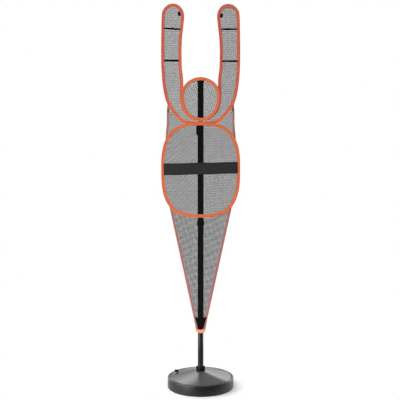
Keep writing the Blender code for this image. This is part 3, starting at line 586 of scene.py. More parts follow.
# How deep and how strong each look's relief is.
WEAVE_RELIEF = (0.00025, 0.8)
THREAD_RELIEF = (0.0001, 0.6)
YARN_RELIEF = (0.00015, 0.7)
TANK_RELIEF = (0.00004, 0.5)
ENAMEL_RELIEF = (0.00004, 0.3)
GRAIN_STRENGTH = 0.6

# A wave texture's bands repeat once in so many units at a scale of 1.
WAVE_SPAN = math.tau / 20
RIB_SHARE = 0.7
GROSGRAIN = (0.0011, 0.0006)

TANK_RISE = 0.034
# One plastic in shaded and lit copies: the wall's colour is painted shade, the top's colour painted light
# falling on it from above.
SHADED_TANK_WALL = {"colour": (0.003, 0.003, 0.0031), "roughness": 0.42}
LIT_TANK_TOP = {"colour": (0.068, 0.068, 0.0686), "roughness": 0.16}


def grey(level, blue):
    return (level, level, blue)


def shade(colour, times, more=0.0):
    return tuple(times * c + more for c in colour)


def node(tree, kind, values=None, **settings):
    """Adds a node; settings are its properties, values its inputs, linked where one is a socket."""
    made = tree.nodes.new("ShaderNode" + kind)
    for name, value in settings.items():
        setattr(made, name, value)
    for name, value in (values or {}).items():
        if isinstance(value, bpy.types.NodeSocket):
            tree.links.new(value, made.inputs[name])
        else:
            made.inputs[name].default_value = value
    return made


def noise(tree, place, scale, detail, stretch=None):
    if stretch:
        place = node(tree, "Mapping", {"Vector": place, "Scale": stretch}).outputs[0]
    return node(tree, "TexNoise", {"Vector": place, "Scale": scale, "Detail": detail}).outputs["Fac"]


def waves(tree, uv, pitch, direction):
    values = {"Vector": uv, "Scale": WAVE_SPAN / pitch}
    return node(tree, "TexWave", values, bands_direction=direction, wave_profile="SIN").outputs["Fac"]


def arithmetic(tree, operation, *values):
    return node(tree, "Math", dict(enumerate(values)), operation=operation).outputs[0]


def blend_colours(tree, factor, a, b):
    a, b = ((*colour, 1) if isinstance(colour, tuple) else colour for colour in (a, b))
    return node(tree, "Mix", {"Factor": factor, 6: a, 7: b}, data_type="RGBA").outputs[2]


def blend_values(tree, factor, a, b):
    return node(tree, "Mix", {"Factor": factor, "A": a, "B": b}, data_type="FLOAT").outputs[0]


def spread(tree, value, low, high, start=0.0, end=1.0, **settings):
    """A value carried from the range start to end to the range low to high."""
    values = {"Value": value, "From Min": start, "From Max": end, "To Min": low, "To Max": high}
    return node(tree, "MapRange", values, **settings).outputs[0]


def part(tree, vector, axis):
    return node(tree, "SeparateXYZ", {0: vector}).outputs[axis]


def new_material(name, colour, roughness, metallic=0.0, **sockets):
    """A Principled material: itself, its tree, its shader and the place on the object."""
    material = bpy.data.materials.new(name)
    material.use_nodes = True
    tree = material.node_tree
    shader = tree.nodes["Principled BSDF"]
    plain = {"Base Color": (*colour, 1), "Roughness": roughness, "Metallic": metallic}
    for socket, value in {**plain, **sockets}.items():
        shader.inputs[socket.replace("_", " ")].default_value = value
    return material, tree, shader, node(tree, "TexCoord").outputs["Object"]


def detail(tree, shader, relief=None, tint=None, gloss=None):
    """Links detail to the shader: relief is a height, its depth and its strength, tint a colour and
    gloss a roughness."""
    if relief:
        values = dict(zip(("Height", "Distance", "Strength"), relief))
        relief = node(tree, "Bump", values).outputs["Normal"]
    for socket, output in (("Normal", relief), ("Base Color", tint), ("Roughness", gloss)):
        if output is not None:
            tree.links.new(output, shader.inputs[socket])


def woven(name, colour, worn, pitches, roughness=0.8, sheen=0.05, specular=0.2, lower=None):
    """Cloth tape or webbing with ribs across it and a weft, at two pitches. lower is the colour
    that it has further down, below the first of two heights and blending to the second."""
    material, tree, shader, place = new_material(
        name, colour, roughness, Sheen_Weight=sheen, Sheen_Roughness=0.4, Specular_IOR_Level=specular
    )
    uv = node(tree, "TexCoord").outputs["UV"]
    ribs, wefts = (waves(tree, uv, pitch, way) for pitch, way in zip(pitches, "XY"))
    wefts = arithmetic(tree, "MULTIPLY", wefts, 1 - RIB_SHARE)
    weave = arithmetic(tree, "MULTIPLY_ADD", ribs, RIB_SHARE, wefts)
    wear, fuzz = noise(tree, place, *WEAR), noise(tree, place, *FUZZ)
    tint = blend_colours(tree, spread(tree, wear, -0.35, 1.2), colour, worn)
    if lower:
        low_colour, start, end = lower
        share = spread(tree, part(tree, place, "Z"), 0, 1, start, end)
        tint = blend_colours(tree, share, low_colour, tint)
    # Painted shade: the weave's troughs are darkened in colour, as shade in the grooves between the ribs.
    tint = blend_colours(tree, spread(tree, weave, 0.55, 0.0), tint, shade(colour, 0.72))
    height = arithmetic(tree, "MULTIPLY_ADD", fuzz, 0.5, weave)
    gloss = spread(tree, fuzz, roughness - 0.12, roughness + 0.1)
    detail(tree, shader, (height, *WEAVE_RELIEF), tint, gloss)
    return material


def plain_thread(name, colour):
    material, tree, shader, place = new_material(name, colour, 0.6, Specular_IOR_Level=0.25)
    twist = noise(tree, place, *TWIST)
    tint = blend_colours(tree, twist, colour, shade(colour, 0.8))
    detail(tree, shader, (twist, *THREAD_RELIEF), tint)
    return material


def net_yarn(name, colour):
    """Knitted yarn, of one colour, with the twist of its fibres in relief."""
    material, tree, shader, place = new_material(name, colour, 0.85, Specular_IOR_Level=0.1)
    detail(tree, shader, (noise(tree, place, *FIBRES), *YARN_RELIEF))
    return material


def moulded(name, colour, roughness, grain, depth, specular):
    """Moulded plastic: a fine grain, soft cloudy changes of gloss and faint handling marks."""
    material, tree, shader, place = new_material(
        name, colour, roughness, Specular_IOR_Level=specular
    )
    grains, clouds, marks = (noise(tree, place, *kind) for kind in ((grain, 2.0), CLOUDS, MARKS))
    lighter = shade(colour, 1.6, 0.001)
    tint = blend_colours(tree, spread(tree, clouds, -0.2, 0.9), colour, lighter)
    cloudy = spread(tree, clouds, roughness - 0.1, roughness + 0.06)
    gloss = arithmetic(tree, "ADD", cloudy, spread(tree, marks, -0.04, 0.05))
    detail(tree, shader, (grains, depth, GRAIN_STRENGTH), tint, gloss)
    return material


def tank_plastic(name):
    """Blow-moulded plastic, grained on its wall and smoother on its top, whose colour is painted paler
    than the wall's as painted light, with cloudy patches of dust.
    """
    material, tree, shader, place = new_material(name, **SHADED_TANK_WALL)
    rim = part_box("base_tank")[1].z - TANK_RISE
    top = spread(tree, part(tree, place, "Z"), 0, 1, rim - 0.002, rim + 0.001)
    clouds, grains, marks = (noise(tree, place, *kind) for kind in (CLOUDS, TANK_GRAIN, MARKS))
    # Painted light and shade: the top gets a paler colour than the wall, as if lit from above.
    tint = blend_colours(tree, top, SHADED_TANK_WALL["colour"], LIT_TANK_TOP["colour"])
    dust = shade(LIT_TANK_TOP["colour"], 1.5)
    lit_and_dusty = blend_colours(tree, spread(tree, clouds, -0.2, 0.7), tint, dust)
    tint = blend_colours(tree, top, tint, lit_and_dusty)
    gloss = spread(tree, top, SHADED_TANK_WALL["roughness"], LIT_TANK_TOP["roughness"])
    change = arithmetic(tree, "ADD", spread(tree, clouds, -0.04, 0.03), spread(tree, marks, -0.02, 0.02))
    detail(tree, shader, (grains, *TANK_RELIEF), tint, arithmetic(tree, "ADD", gloss, change))
    return material


def enamel(name, colour, roughness):
    """Satin enamel on tube: a slight orange peel, and fine scuffs round it where it has slid."""
    material, tree, shader, place = new_material(name, colour, roughness, Specular_IOR_Level=0.3)
    scuffs = noise(tree, place, *SCUFFS)
    tint = blend_colours(tree, spread(tree, scuffs, -0.6, 1.0), colour, shade(colour, 2.2))
    gloss = spread(tree, scuffs, roughness - 0.06, roughness + 0.08)
    detail(tree, shader, (noise(tree, place, *PEEL), *ENAMEL_RELIEF), tint, gloss)
    return material


def drawn_wire(name):
    material, tree, shader, place = new_material(name, (0.5, 0.5, 0.51), 0.3, 1.0)
    detail(tree, shader, gloss=spread(tree, noise(tree, place, *STREAKS), 0.22, 0.42))
    return material


ORANGE = woven("orange_grosgrain", (0.66, 0.142, 0.046), (0.60, 0.13, 0.055), GROSGRAIN)
ARM_ORANGE = woven(
    "arm_grosgrain", (0.57, 0.115, 0.060), (0.52, 0.11, 0.07), GROSGRAIN,
    lower=((0.70, 0.135, 0.040), 1.62, 1.76),
)
# Painted light: the hem is the same grosgrain as the bands, made paler for the strong light that falls on
# its front.
LIT_HEM_ORANGE = woven("lit_hem_grosgrain", (0.74, 0.27, 0.15), (0.68, 0.26, 0.16), GROSGRAIN)
RED_TAPE = woven("edge_tape", (0.40, 0.135, 0.105), (0.36, 0.13, 0.11), (0.0009, 0.0006))
WEBBING = woven(
    "black_webbing", grey(0.0028, 0.003), grey(0.0045, 0.0047), (0.0016, 0.0008), 0.85, 0.0, 0.06
)
BAND_CLOTH = woven(
    "chest_cloth", grey(0.021, 0.0213), grey(0.028, 0.0285), (0.0008, 0.0008), 0.85, 0.03, 0.15
)
ORANGE_THREAD = plain_thread("orange_thread", (0.75, 0.23, 0.11))
RED_THREAD = plain_thread("red_thread", (0.48, 0.19, 0.15))
BLACK_THREAD = plain_thread("black_thread", grey(0.008, 0.0085))
YARN = net_yarn("net_yarn", grey(0.0055, 0.0058))
TANK = tank_plastic("satin_polyethylene")
PLASTIC = moulded("moulded_plastic", grey(0.0030, 0.0031), 0.5, 1200.0, 0.00005, 0.12)
RUBBER = moulded("rubber", grey(0.012, 0.012), 0.85, 700.0, 0.0001, 0.2)
ENAMEL = enamel("black_enamel", grey(0.010, 0.0102), 0.20)
WIRE = drawn_wire("spring_wire")


def fasten(obj, nodes, rows, look=WEBBING, slot="black_webbing", thread=BLACK_THREAD, **sheet):
    """Dresses a piece of cloth, puts it in the place of its nodes and sews its rows of stitches; how it
    lies flat is taken but not used."""
    dress(obj, look, "mannequin")
    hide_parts(*nodes)
    stitching(obj.name + "_stitches", rows, thread)


# Bound hoops

# The middle of a folded tape in section, from its lips to its fold: places across and deep.
BAND_FOLD = (
    (-0.0098, 0.00125),
    (-0.0060, 0.00122),
    (-0.0020, 0.0013),
    (0.0012, 0.0017),
    (0.0035, 0.0024),
    (0.0058, 0.00283),
    (0.0078, 0.0023),
    (0.0092, 0.0012),
    (0.0096, 0.0),
)
EDGE_FOLD = (
    (-EDGE_TAPE_WIDTH / 2, 0.00115),
    (-0.001, 0.0012),
    (EDGE_TAPE_WIDTH / 2 - 0.0016, 0.00118),
    (EDGE_TAPE_WIDTH / 2 - 0.0004, 0.0007),
    (EDGE_TAPE_WIDTH / 2 - 0.0001, 0.0),
)
FOLD_STEPS = 3

# Lips that pucker: how much, in waves of a share, a pitch and a start, and how they sway.
LIP_FROM = 0.001
PUCKER = 0.0002
PUCKER_WAVES = ((0.6, 0.017, 0.0), (0.4, 0.0107, 1.0))
PUCKER_OPEN = 0.3
SWAY, SWAY_PITCH = 0.0004, 0.043

# Rows of stitches on a band: their place across and how proud of its middle its face is there.
BAND_BULGE = 0.0029
LIP_STITCH, LIP_FACE = -0.0074, 0.0017
WIRE_STITCH, WIRE_FACE = 0.0006, 0.0021
EDGE_STITCH, EDGE_FACE = -0.0025, 0.00155
FACES = (-1, 1)


def folded(fold, thickness):
    """The section of a tape folded in two like halves, and its girth."""
    fold = open_curve(fold, FOLD_STEPS)
    middle = np.vstack([fold, fold[-2::-1] * (1, -1)])
    outer, inner = (shifted(middle, side * thickness / 2, closed=False) for side in (1, -1))
    return np.vstack([outer, inner[::-1]]), length(middle, closed=False)


def band_sections(line):
    """The folded tape round the wire, in section at each point of its hoop, and its girth."""
    section, girth = folded(BAND_FOLD, TAPE)
    sections = np.repeat(section[None], len(line), axis=0)
    u, v = sections[..., 0], sections[..., 1]
    lip = np.clip((-u - LIP_FROM) / (BAND_WIDTH / 2), 0, 1) ** 2
    s = (np.arange(len(line)) / len(line) * length(line))[:, None]
    ripple = sum(share * np.sin(math.tau * s / pitch + start) for share, pitch, start in PUCKER_WAVES)
    sections[..., 1] = v + np.sign(v) * PUCKER * lip * (ripple + PUCKER_OPEN)
    sections[..., 0] = u + SWAY * lip * np.sin(math.tau * s / SWAY_PITCH + np.sign(v))
    return sections, girth


def bind(name, line, y, look):
    """The tape bound round a hoop, and the rows of stitches that close it on both faces."""
    sections, girth = band_sections(line)
    across = upright(sideways(line), 0)
    band = sweep(name + "_tape", upright(line, y), across, (0, 1, 0), sections)
    rows = [
        row(upright(shifted(line, offset), y + face * rise), (0, face, 0), closed=True)
        for face in FACES
        for offset, rise in ((LIP_STITCH, LIP_FACE), (WIRE_STITCH, WIRE_FACE))
    ]
    fasten(
        band, [name + "_binding"], rows, look, "orange_tape", ORANGE_THREAD,
        flat=(girth, length(line)), held="folded", rests_on=[name + "_wire"],
    )


def easy(distance, margin=SLACK_MARGIN):
    """0 at an edge, rising smoothly to 1 at a margin from it."""
    t = np.clip(distance / margin, 0, 1)
    return t * t * (3 - 2 * t)


def tucked(line, ends):
    """The depth at each place of a free edge in the sheets' layer, which bends back under the bands
    that it ends under: ends gives each band's line and layer and how long the bend is."""
    depth = np.full(len(line), SHEET_LAYER)
    for band, layer, bend in ends:
        near = 1 - easy(distances(line, band) - BAND_WIDTH / 2, bend)
        depth += near * max(behind(layer) - SHEET_LAYER, 0)
    return depth


def behind(layer):
    """The depth at which a free edge passes behind a band that lies in a layer."""
    return layer + BAND_BULGE + EDGE_TAPE_DEPTH + GAP


def edge_bind(name, line, ends, nodes):
    """The narrow tape folded over a free edge, with one row of stitches on each face."""
    section, girth = folded(EDGE_FOLD, EDGE_TAPE)
    line = evenly(line, HOOP_STEP, closed=False)
    depth = tucked(line, ends)
    across = upright(sideways(line, closed=False), 0)
    band = sweep(name, upright(line, depth), across, (0, 1, 0), section, closed=False)
    sewn = shifted(line, EDGE_STITCH, closed=False)
    rows = [row(upright(sewn, depth + face * EDGE_FACE), (0, face, 0)) for face in FACES]
    fasten(
        band, nodes, rows, RED_TAPE, "red_edge_tape", RED_THREAD,
        flat=(girth, length(line, closed=False)), held="folded",
    )


head_line = whole(head_half)
torso_line = whole(torso_half)
arms_line = evenly([*right_arm, *flipped(left_arm[1:-1])], HOOP_STEP)
bind("head", head_line, FRONT_LAYER, ORANGE)
bind("torso", torso_line, FRONT_LAYER, ORANGE)
bind("arms", arms_line, ARM_LAYER, ARM_ORANGE)


# Nets

# What scatters the cells' gaps: factors for a cell's row and column and for the whole.
SCATTER = (12.9898, 78.233, 43758.5453)
KNIT_DRIFT = 0.8
KNIT_DRIFT_UP, KNIT_DRIFT_ACROSS = 0.034, 0.029
CELL_SIDES = 6
KEYS_A_CELL = 50
BESIDE_STRIP = 0.03
TORSO_SLACK, HEAD_SLACK, ARM_SLACK, LEG_SLACK = 0.004, 0.002, 0.003, 0.003

# Waves in which a net hangs: how much, what they run over across and up, and their start.
SLACK_WAVES = ((0.3, 0.031, 0.047, 0), (0.2, 0.019, -0.026, 1))
SIDES = (("right", list), ("left", flipped))

# How far apart an outline's points are, enough for what is tested against it.
OUTLINE_STEP = 0.012
FINE_STEP = 0.006


def no_slack(x, z):
    return np.zeros(len(x))


def knit_shares(row_of, column_of, x, z, gap, knit):
    """How much of each cell's width its gap takes: waves across and up, and a scatter."""
    across, across_pitch, up, up_pitch, lean = knit
    by_row, by_column, by_all = SCATTER
    uneven = np.sin(by_row * row_of + by_column * column_of) * by_all
    wave_across = (x + lean * z) / across_pitch
    wave_up = (z - lean * x) / up_pitch
    return gap * (
        1
        + across * np.sin(math.tau * wave_across + KNIT_DRIFT * np.sin(z / KNIT_DRIFT_UP))
        + up * np.sin(math.tau * wave_up + KNIT_DRIFT * np.sin(x / KNIT_DRIFT_ACROSS))
        + UNEVEN * (uneven - np.floor(uneven) - 0.5)
    )


def net(name, outline, y, nodes, slack=no_slack, keep=None, gap=ARM_GAP, knit=PLAIN_KNIT):
    """A lattice of yarn inside an outline. slack says how far back each place hangs; keep says which
    cells belong to this piece where a net is made of two; gap is how much of a cell's width its gap
    takes, and knit how that changes: how much across and up, at what pitches and with what lean."""
    step_up = NET_PITCH * math.sqrt(3) / 2 * NET_STRETCH
    (x_low, z_low), (x_high, z_high) = np.min(outline, axis=0), np.max(outline, axis=0)
    rows = np.arange(math.floor(z_low / step_up), math.ceil(z_high / step_up) + 1)
    columns = np.arange(math.floor(x_low / NET_PITCH) - 1, math.ceil(x_high / NET_PITCH) + 2)
    row_of, column_of = (a.ravel() for a in np.meshgrid(rows, columns, indexing="ij"))
    centres = np.stack([(column_of + 0.5 * (row_of % 2)) * NET_PITCH, row_of * step_up], axis=1)
    kept = inside(centres, outline)
    if keep:
        kept &= keep(centres[:, 0])
    centres = centres[kept]
    turns = np.radians((np.arange(CELL_SIDES) + 0.5) * 360 / CELL_SIDES)
    reach = NET_PITCH / math.sqrt(3)
    corner = np.stack([np.cos(turns) * reach, np.sin(turns) * reach * NET_STRETCH], 1)
    ridge = (centres[:, None] + corner[None]).reshape(-1, 2)
    keys = np.round(ridge / (NET_PITCH / KEYS_A_CELL)).astype(int)
    _, first, index = np.unique(keys, axis=0, return_index=True, return_inverse=True)
    ridge_points, index = ridge[first], index.reshape(-1, CELL_SIDES)
    share = knit_shares(row_of[kept], column_of[kept], *centres.T, gap, knit)
    gap_points = (centres[:, None] + corner[None] * share[:, None, None]).reshape(-1, 2)
    back = y + slack(*ridge_points.T)
    points = np.vstack(
        [
            upright(ridge_points, back - NET_THICKNESS / 2),
            upright(ridge_points, back + NET_THICKNESS / 2),
            upright(gap_points, y + slack(*gap_points.T)),
        ]
    )
    count = len(ridge_points)
    after = np.roll(index, -1, axis=1)
    lip = 2 * count + np.arange(len(gap_points)).reshape(-1, CELL_SIDES)
    lip_after = np.roll(lip, -1, axis=1)
    front_faces = np.stack([index, after, lip_after, lip], -1).reshape(-1, 4)
    back_faces = np.stack([after + count, index + count, lip, lip_after], -1).reshape(-1, 4)
    edges = np.stack([index.ravel(), after.ravel()], 1)
    _, where, times = np.unique(
        np.sort(edges, axis=1), axis=0, return_inverse=True, return_counts=True
    )
    start, end = edges[times[where.ravel()] == 1].T
    rim_faces = np.stack([end, start, start + count, end + count], 1)
    obj = add_mesh(name, points, [front_faces, back_faces, rim_faces])
    dress(obj, YARN, "mannequin")
    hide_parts(*nodes)


def beside_strip(width):
    """Says how clear a place is of an upright strip of a width."""
    return lambda x, z: easy(np.abs(x) - width / 2, BESIDE_STRIP)


def slack_within(outline, most, clear):
    """How far back a net hangs: soft waves that die out at its edge and where something lies on it."""
    line = [*outline, outline[0]]

    def slack(x, z):
        hang = sum((a * np.sin(x / b + z / c + d) for a, b, c, d in SLACK_WAVES), 0.5)
        return most * hang * easy(distances(np.stack([x, z], 1), line)) * clear(x, z)

    return slack


def make_nets():
    chest_low, chest_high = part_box("chest_band")

    def off_strips(x, z):
        band = np.maximum(chest_low.z - z, z - chest_high.z)
        return beside_strip(TORSO_STRIP_WIDTH)(x, z) * easy(band, BESIDE_STRIP)

    edge = evenly(torso_line, OUTLINE_STEP)
    slack = slack_within(edge, TORSO_SLACK, off_strips)
    for side, nodes, keep, knit in (
        ("right", ["torso_net"], lambda x: x >= 0, RIGHT_TORSO_KNIT),
        ("left", [], lambda x: x < 0, LEFT_TORSO_KNIT),
    ):
        net(f"torso_net_{side}", edge, FRONT_LAYER, nodes, slack, keep, TORSO_GAP, knit)
    edge = evenly(head_line, OUTLINE_STEP)
    slack = slack_within(edge, HEAD_SLACK, beside_strip(HEAD_STRIP_WIDTH))
    net("head_net_mesh", edge, FRONT_LAYER, ["head_net"], slack, gap=HEAD_GAP, knit=HEAD_KNIT)
    for (side, turn), line, gap in zip(SIDES, (right_arm, left_arm), (RIGHT_ARM_GAP, LEFT_ARM_GAP)):
        edge = turn(evenly([p for p in line if p[0] > ARM_NET_END], OUTLINE_STEP))
        slack = slack_within(edge, ARM_SLACK, lambda x, z: 1.0)
        net(f"{side}_arm_mesh", edge, ARM_LAYER, [f"{side}_arm_net"], slack, gap=gap)


def shoulder_lines():
    """The shoulder net's outline and its taped free edge, on the right."""
    ends = beside_torso(SHOULDER_EDGE)
    edge = smooth_line(ends, ends[0], ends[-1])
    reach = BAND_WIDTH / 2 + GAP
    free = edge[distances(edge, arm_outside) > reach]
    tip = TORSO_HALF - SHOULDER_TIP
    arm_edge = shifted(arm_outside, reach, closed=False)
    under_arm = [p for p in arm_edge if tip < p[0] < free[0][0] and p[1] < free[0][1]]
    on_torso = [p for p in torso_half if tip < p[0] < free[-1][0] and p[1] > free[-1][1]]
    return evenly([*under_arm, *free, *on_torso], FINE_STEP), edge[::-1]


def leg_lines():
    """The leg net's outline and its right edge's line, bottom to top."""
    hip = (TORSO_HALF - LEG_TOP[0], TORSO_BOTTOM + LEG_TOP[1])
    top = [p for p in torso_half if p[0] < hip[0] and p[1] < hip[1]]
    half = [LEG_END, LEG_KNEE, hip, *reversed(top[1:])]
    edge = evenly([LEG_END, LEG_KNEE, hip], FINE_STEP, closed=False)
    return [*half, top[0], *flipped(half)], edge


def make_edges():
    outline, free = shoulder_lines()
    top = max(z for x, z in outline)

    def back_at_top(x, z):
        return (behind(ARM_LAYER) - SHEET_LAYER) * (1 - easy(top - z, ARM_BEND))

    for side, turn in SIDES:
        net(
            f"{side}_shoulder_mesh", turn(outline), SHEET_LAYER, [f"{side}_shoulder_net"], back_at_top,
            gap=SHOULDER_GAP,
        )
        ends = [(turn(arm_outside), ARM_LAYER, ARM_BEND), (turn(torso_half), FRONT_LAYER, TORSO_BEND)]
        edge_bind(f"{side}_shoulder_edge", turn(free), ends, [f"{side}_shoulder_tape"])
    outline, edge = leg_lines()
    slack = slack_within(evenly(outline, OUTLINE_STEP), LEG_SLACK, beside_strip(LEG_STRIP_WIDTH))
    net("leg_mesh", outline, SHEET_LAYER, ["leg_net"], slack, gap=LEG_GAP, knit=LEG_KNIT)
    for side, turn in SIDES:
        ends = [(turn(torso_half), FRONT_LAYER, TORSO_BEND)]
        edge_bind(f"{side}_leg_edge", turn(edge), ends, [f"{side}_leg_tape"])


arm_outside = right_arm[: len(right_arm) // 2]
make_nets()
make_edges()


# Strips, straps and pockets

STITCH_PROUD = 0.0001
STRIP_STEP = 0.003
STRIP_ROW = 0.003
STRIP_CURL, STRIP_CURL_PITCH = 0.0002, 0.021
STRAP_ROW = 0.002
STRAP_CURL, STRAP_CURL_PITCH = 0.0003, 0.027
BAND_ROWS = (0.004, 0.0075)
BAND_BOW, STRAP_BOW = 0.0012, 0.0006
STRAP_SPLITS = 12

# How far each arm strap's outer and inner end stand above the middle of its box.
ARM_STRAPS = {
    "right_upper": (-0.0016, -0.0016),
    "left_upper": (0.0033, -0.0022),
    "right_lower": (-0.0016, -0.0016),
    "left_lower": (0.002, 0.002),
}
HAND_TABS = (("right", 0.1264, 2.2485, -HAND_TAB_TILT), ("left", -0.1300, 2.2585, HAND_TAB_TILT))

WALL_STEP = 0.002
WALL_ROW = 0.003
POCKET_ROWS = (0.003, 0.006)
POCKET_CLOTH = 0.0015
POCKET_CORNER = 0.004
ROOF_STEPS = 24
LOOP_STEPS, LOOP_CORNER_STEPS = 24, 5
STRAP_LOOP = 0.01605
TAB_END, TAB_INSET, TAB_SHORTER, TAB_PROUD = -0.0165, 0.004, 0.001, 0.0004

POUCH_STEPS = 61
POUCH_SPLITS = 16
POUCH_ROW = 0.0025
POUCH_PUFF = 0.0022
POUCH_EDGE = 0.0004
SLEEVE_RADIUS = 0.0190
HEM_CLOTH = 0.0016
HEM_RADIUS = 0.0195
HEM_STEPS = 20
HEM_ROW = 0.0035
HEM_PUFF = 0.0006
HEM_DEPTH = 0.02


def strip(name, node_name, widths, y, lap=None):
    """An upright strip: widths gives height and width from the bottom up, and lap the depth that its
    ends go to, over a band."""
    z, width = evenly(widths, STRIP_STEP, closed=False).T
    depth = np.full(len(z), y)
    if lap is not None:
        for end in (widths[0][0], widths[-1][0]):
            near = 1 - easy(np.abs(z - end) - STRIP_LAP, STRIP_LAP)
            depth = depth * (1 - near) + lap * near
    base = slab(1.0, CLOTH)
    inner = (1.0 - CLOTH) / 2
    u = np.clip(base[:, 0], -inner, inner) / inner
    rounding = base[:, 0] - u * inner
    sections = np.repeat(base[None], len(z), axis=0)
    sections[..., 0] = u[None] * (width[:, None] - CLOTH) / 2 + rounding[None]
    sections[..., 1] += STRIP_CURL * np.sin(z / STRIP_CURL_PITCH)[:, None] * u[None] ** 2
    path = np.stack([np.zeros(len(z)), depth, z], axis=1)
    obj = sweep(name, path, (1, 0, 0), (0, 1, 0), sections, closed=False)
    rows = []
    for face in FACES:
        for side in (-1, 1):
            x = side * (width / 2 - STRIP_ROW)
            edge = np.stack([x, depth + face * (CLOTH / 2 + STITCH_PROUD), z], axis=1)
            rows.append(row(edge, (0, face, 0)))
    run = float(z[-1] - z[0])
    fasten(
        obj, [node_name], rows, flat=(float(width.max()), run), held="stretched",
        area=float(width.mean() * run),
    )


def level_strap(name, node_name, start, end, width, y, look=WEBBING, rows_in=(STRAP_ROW,), bow=0.0):
    """A strap or band that runs across from start to end, places across and up. bow is how far its
    middle stands forward."""
    line = evenly([start, end], STRIP_STEP, closed=False)
    depth = y - bow * (1 - np.linspace(-1, 1, len(line)) ** 2)
    across = upright(-sideways(line, closed=False), 0)
    path = upright(line, depth)
    section = slab(width, CLOTH, STRAP_SPLITS)
    sections = np.repeat(section[None], len(line), axis=0)
    curl = STRAP_CURL * np.sin(line[:, 0] / STRAP_CURL_PITCH)
    sections[..., 1] += curl[:, None] * (4 * (section[:, 0] / width)[None] ** 2)
    obj = sweep(name, path, across, (0, 1, 0), sections, closed=False)
    rows = []
    for face in FACES:
        out = (0, face * (CLOTH / 2 + STITCH_PROUD), 0)
        for inset in rows_in:
            for side in (-1, 1):
                rows.append(row(path + across * side * (width / 2 - inset) + out, (0, face, 0)))
        reach = across[0] * (width / 2 - rows_in[0])
        for spot in (path[2], path[-3]):
            rows.append(row([spot - reach + out, spot + reach + out], (0, face, 0)))
    fasten(
        obj, [node_name], rows, look, flat=(length(line, closed=False), width), held="stretched"
    )


def wall_of_cloth(name, nodes, loop, low, high, thickness=POCKET_CLOTH, rows_in=(WALL_ROW,),
                  closed=True, lift=None, puff=0.0, **dressing):
    """A band of cloth that stands on a flat loop or line round the pole, from low to high. lift says
    how far up each place is moved, and puff how far the cloth's middle stands out."""
    loop = evenly(loop, WALL_STEP, closed)
    side = sideways(loop, closed)
    across = np.column_stack([side, np.zeros(len(side))])
    height = high - low
    section = slab(height, thickness)[:, ::-1]
    sections = np.repeat(section[None], len(loop), axis=0)
    v = section[:, 1] / height
    s = np.arange(len(loop))[:, None] * WALL_STEP
    sections[..., 0] += puff * np.cos(math.pi * v)[None] * (0.6 + 0.4 * np.sin(s / 0.006))
    middle = np.full(len(loop), (low + high) / 2)
    if lift is not None:
        middle = middle + lift(*loop.T)
    path = np.column_stack([loop, middle])
    obj = sweep(name, path, across, (0, 0, 1), sections, closed)
    rows = []
    for inset in rows_in:
        proud = thickness / 2 + STITCH_PROUD + puff * math.sin(math.pi * inset / height)
        for end in (-1, 1):
            place = path + across * proud + (0, 0, end * (height / 2 - inset))
            rows.append(row(place, across, closed))
    flat = (length(loop, closed), height)
    fasten(obj, nodes, rows, flat=flat, held="stretched", **dressing)


def d_loop(radius, front):
    """A D round the pole: half a circle behind it, carried to a flat front with round corners."""
    x, y = radius - POCKET_CORNER, front + POCKET_CORNER
    return [
        *arc((0, 0), radius, 0, 180, LOOP_STEPS),
        *arc((-x, y), POCKET_CORNER, 180, 270, LOOP_CORNER_STEPS),
        *arc((x, y), POCKET_CORNER, 270, 360, LOOP_CORNER_STEPS),
    ]


def make_strips():
    layer = middle_of("head_strip", 1)
    behind_lips = FRONT_LAYER + LIP_FACE + CLOTH / 2 + 2 * GAP
    low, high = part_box("head_strip")
    shoulder = high.z - HEAD_FLARE_HEIGHT
    widths = [
        (low.z - STRIP_LAP, HEAD_STRIP_WIDTH),
        (shoulder - 0.001, HEAD_STRIP_WIDTH),
        (shoulder + 0.001, HEAD_STRIP_FLARE),
        (high.z + STRIP_LAP, HEAD_STRIP_FLARE),
    ]
    strip("head_centre_strip", "head_strip", widths, layer, behind_lips)
    low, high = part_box("torso_strip")
    widths = [(z, TORSO_STRIP_WIDTH) for z in (low.z - STRIP_LAP, high.z + STRIP_LAP)]
    strip("torso_centre_strip", "torso_strip", widths, layer, behind_lips)
    low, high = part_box("leg_strip")
    patch_low, patch_high = (corner.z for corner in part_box("twist_collar"))
    widths = [
        (low.z, LEG_STRIP_WIDTH),
        (patch_low - 0.003, LEG_STRIP_WIDTH),
        (patch_low + 0.003, COLLAR_PATCH_WIDTH),
        (patch_high - 0.003, COLLAR_PATCH_WIDTH),
        (patch_high + 0.003, LEG_STRIP_WIDTH),
        (high.z, LEG_STRIP_WIDTH),
    ]
    strip("leg_centre_strip", "leg_strip", widths, middle_of("leg_strip", 1))


def make_straps():
    low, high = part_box("chest_band")
    middle = (low.z + high.z) / 2
    half = (high.x - low.x) / 2
    rise = half * math.tan(CHEST_TILT)
    level_strap(
        "chest_cloth_band", "chest_band", (-half, middle - rise), (half, middle + rise),
        high.z - low.z, (low.y + high.y) / 2, BAND_CLOTH, BAND_ROWS, BAND_BOW,
    )
    layer = middle_of("right_upper_arm_strap", 1)
    for name, (outer_rise, inner_rise) in ARM_STRAPS.items():
        low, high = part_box(name + "_arm_strap")
        middle = (low.z + high.z) / 2
        rises = (inner_rise, outer_rise) if low.x > 0 else (outer_rise, inner_rise)
        start, end = ((x, middle + rise) for x, rise in zip((low.x, high.x), rises))
        level_strap(
            name + "_strap", name + "_arm_strap", start, end, ARM_STRAP_WIDTH, layer, bow=STRAP_BOW
        )
    width, run = HAND_TAB
    for side, x, z, tilt in HAND_TABS:
        reach = math.sin(-tilt) * run / 2, math.cos(tilt) * run / 2
        start, end = (x - reach[0], z - reach[1]), (x + reach[0], z + reach[1])
        level_strap(f"{side}_hand_loop", f"{side}_hand_tab", start, end, width, layer)


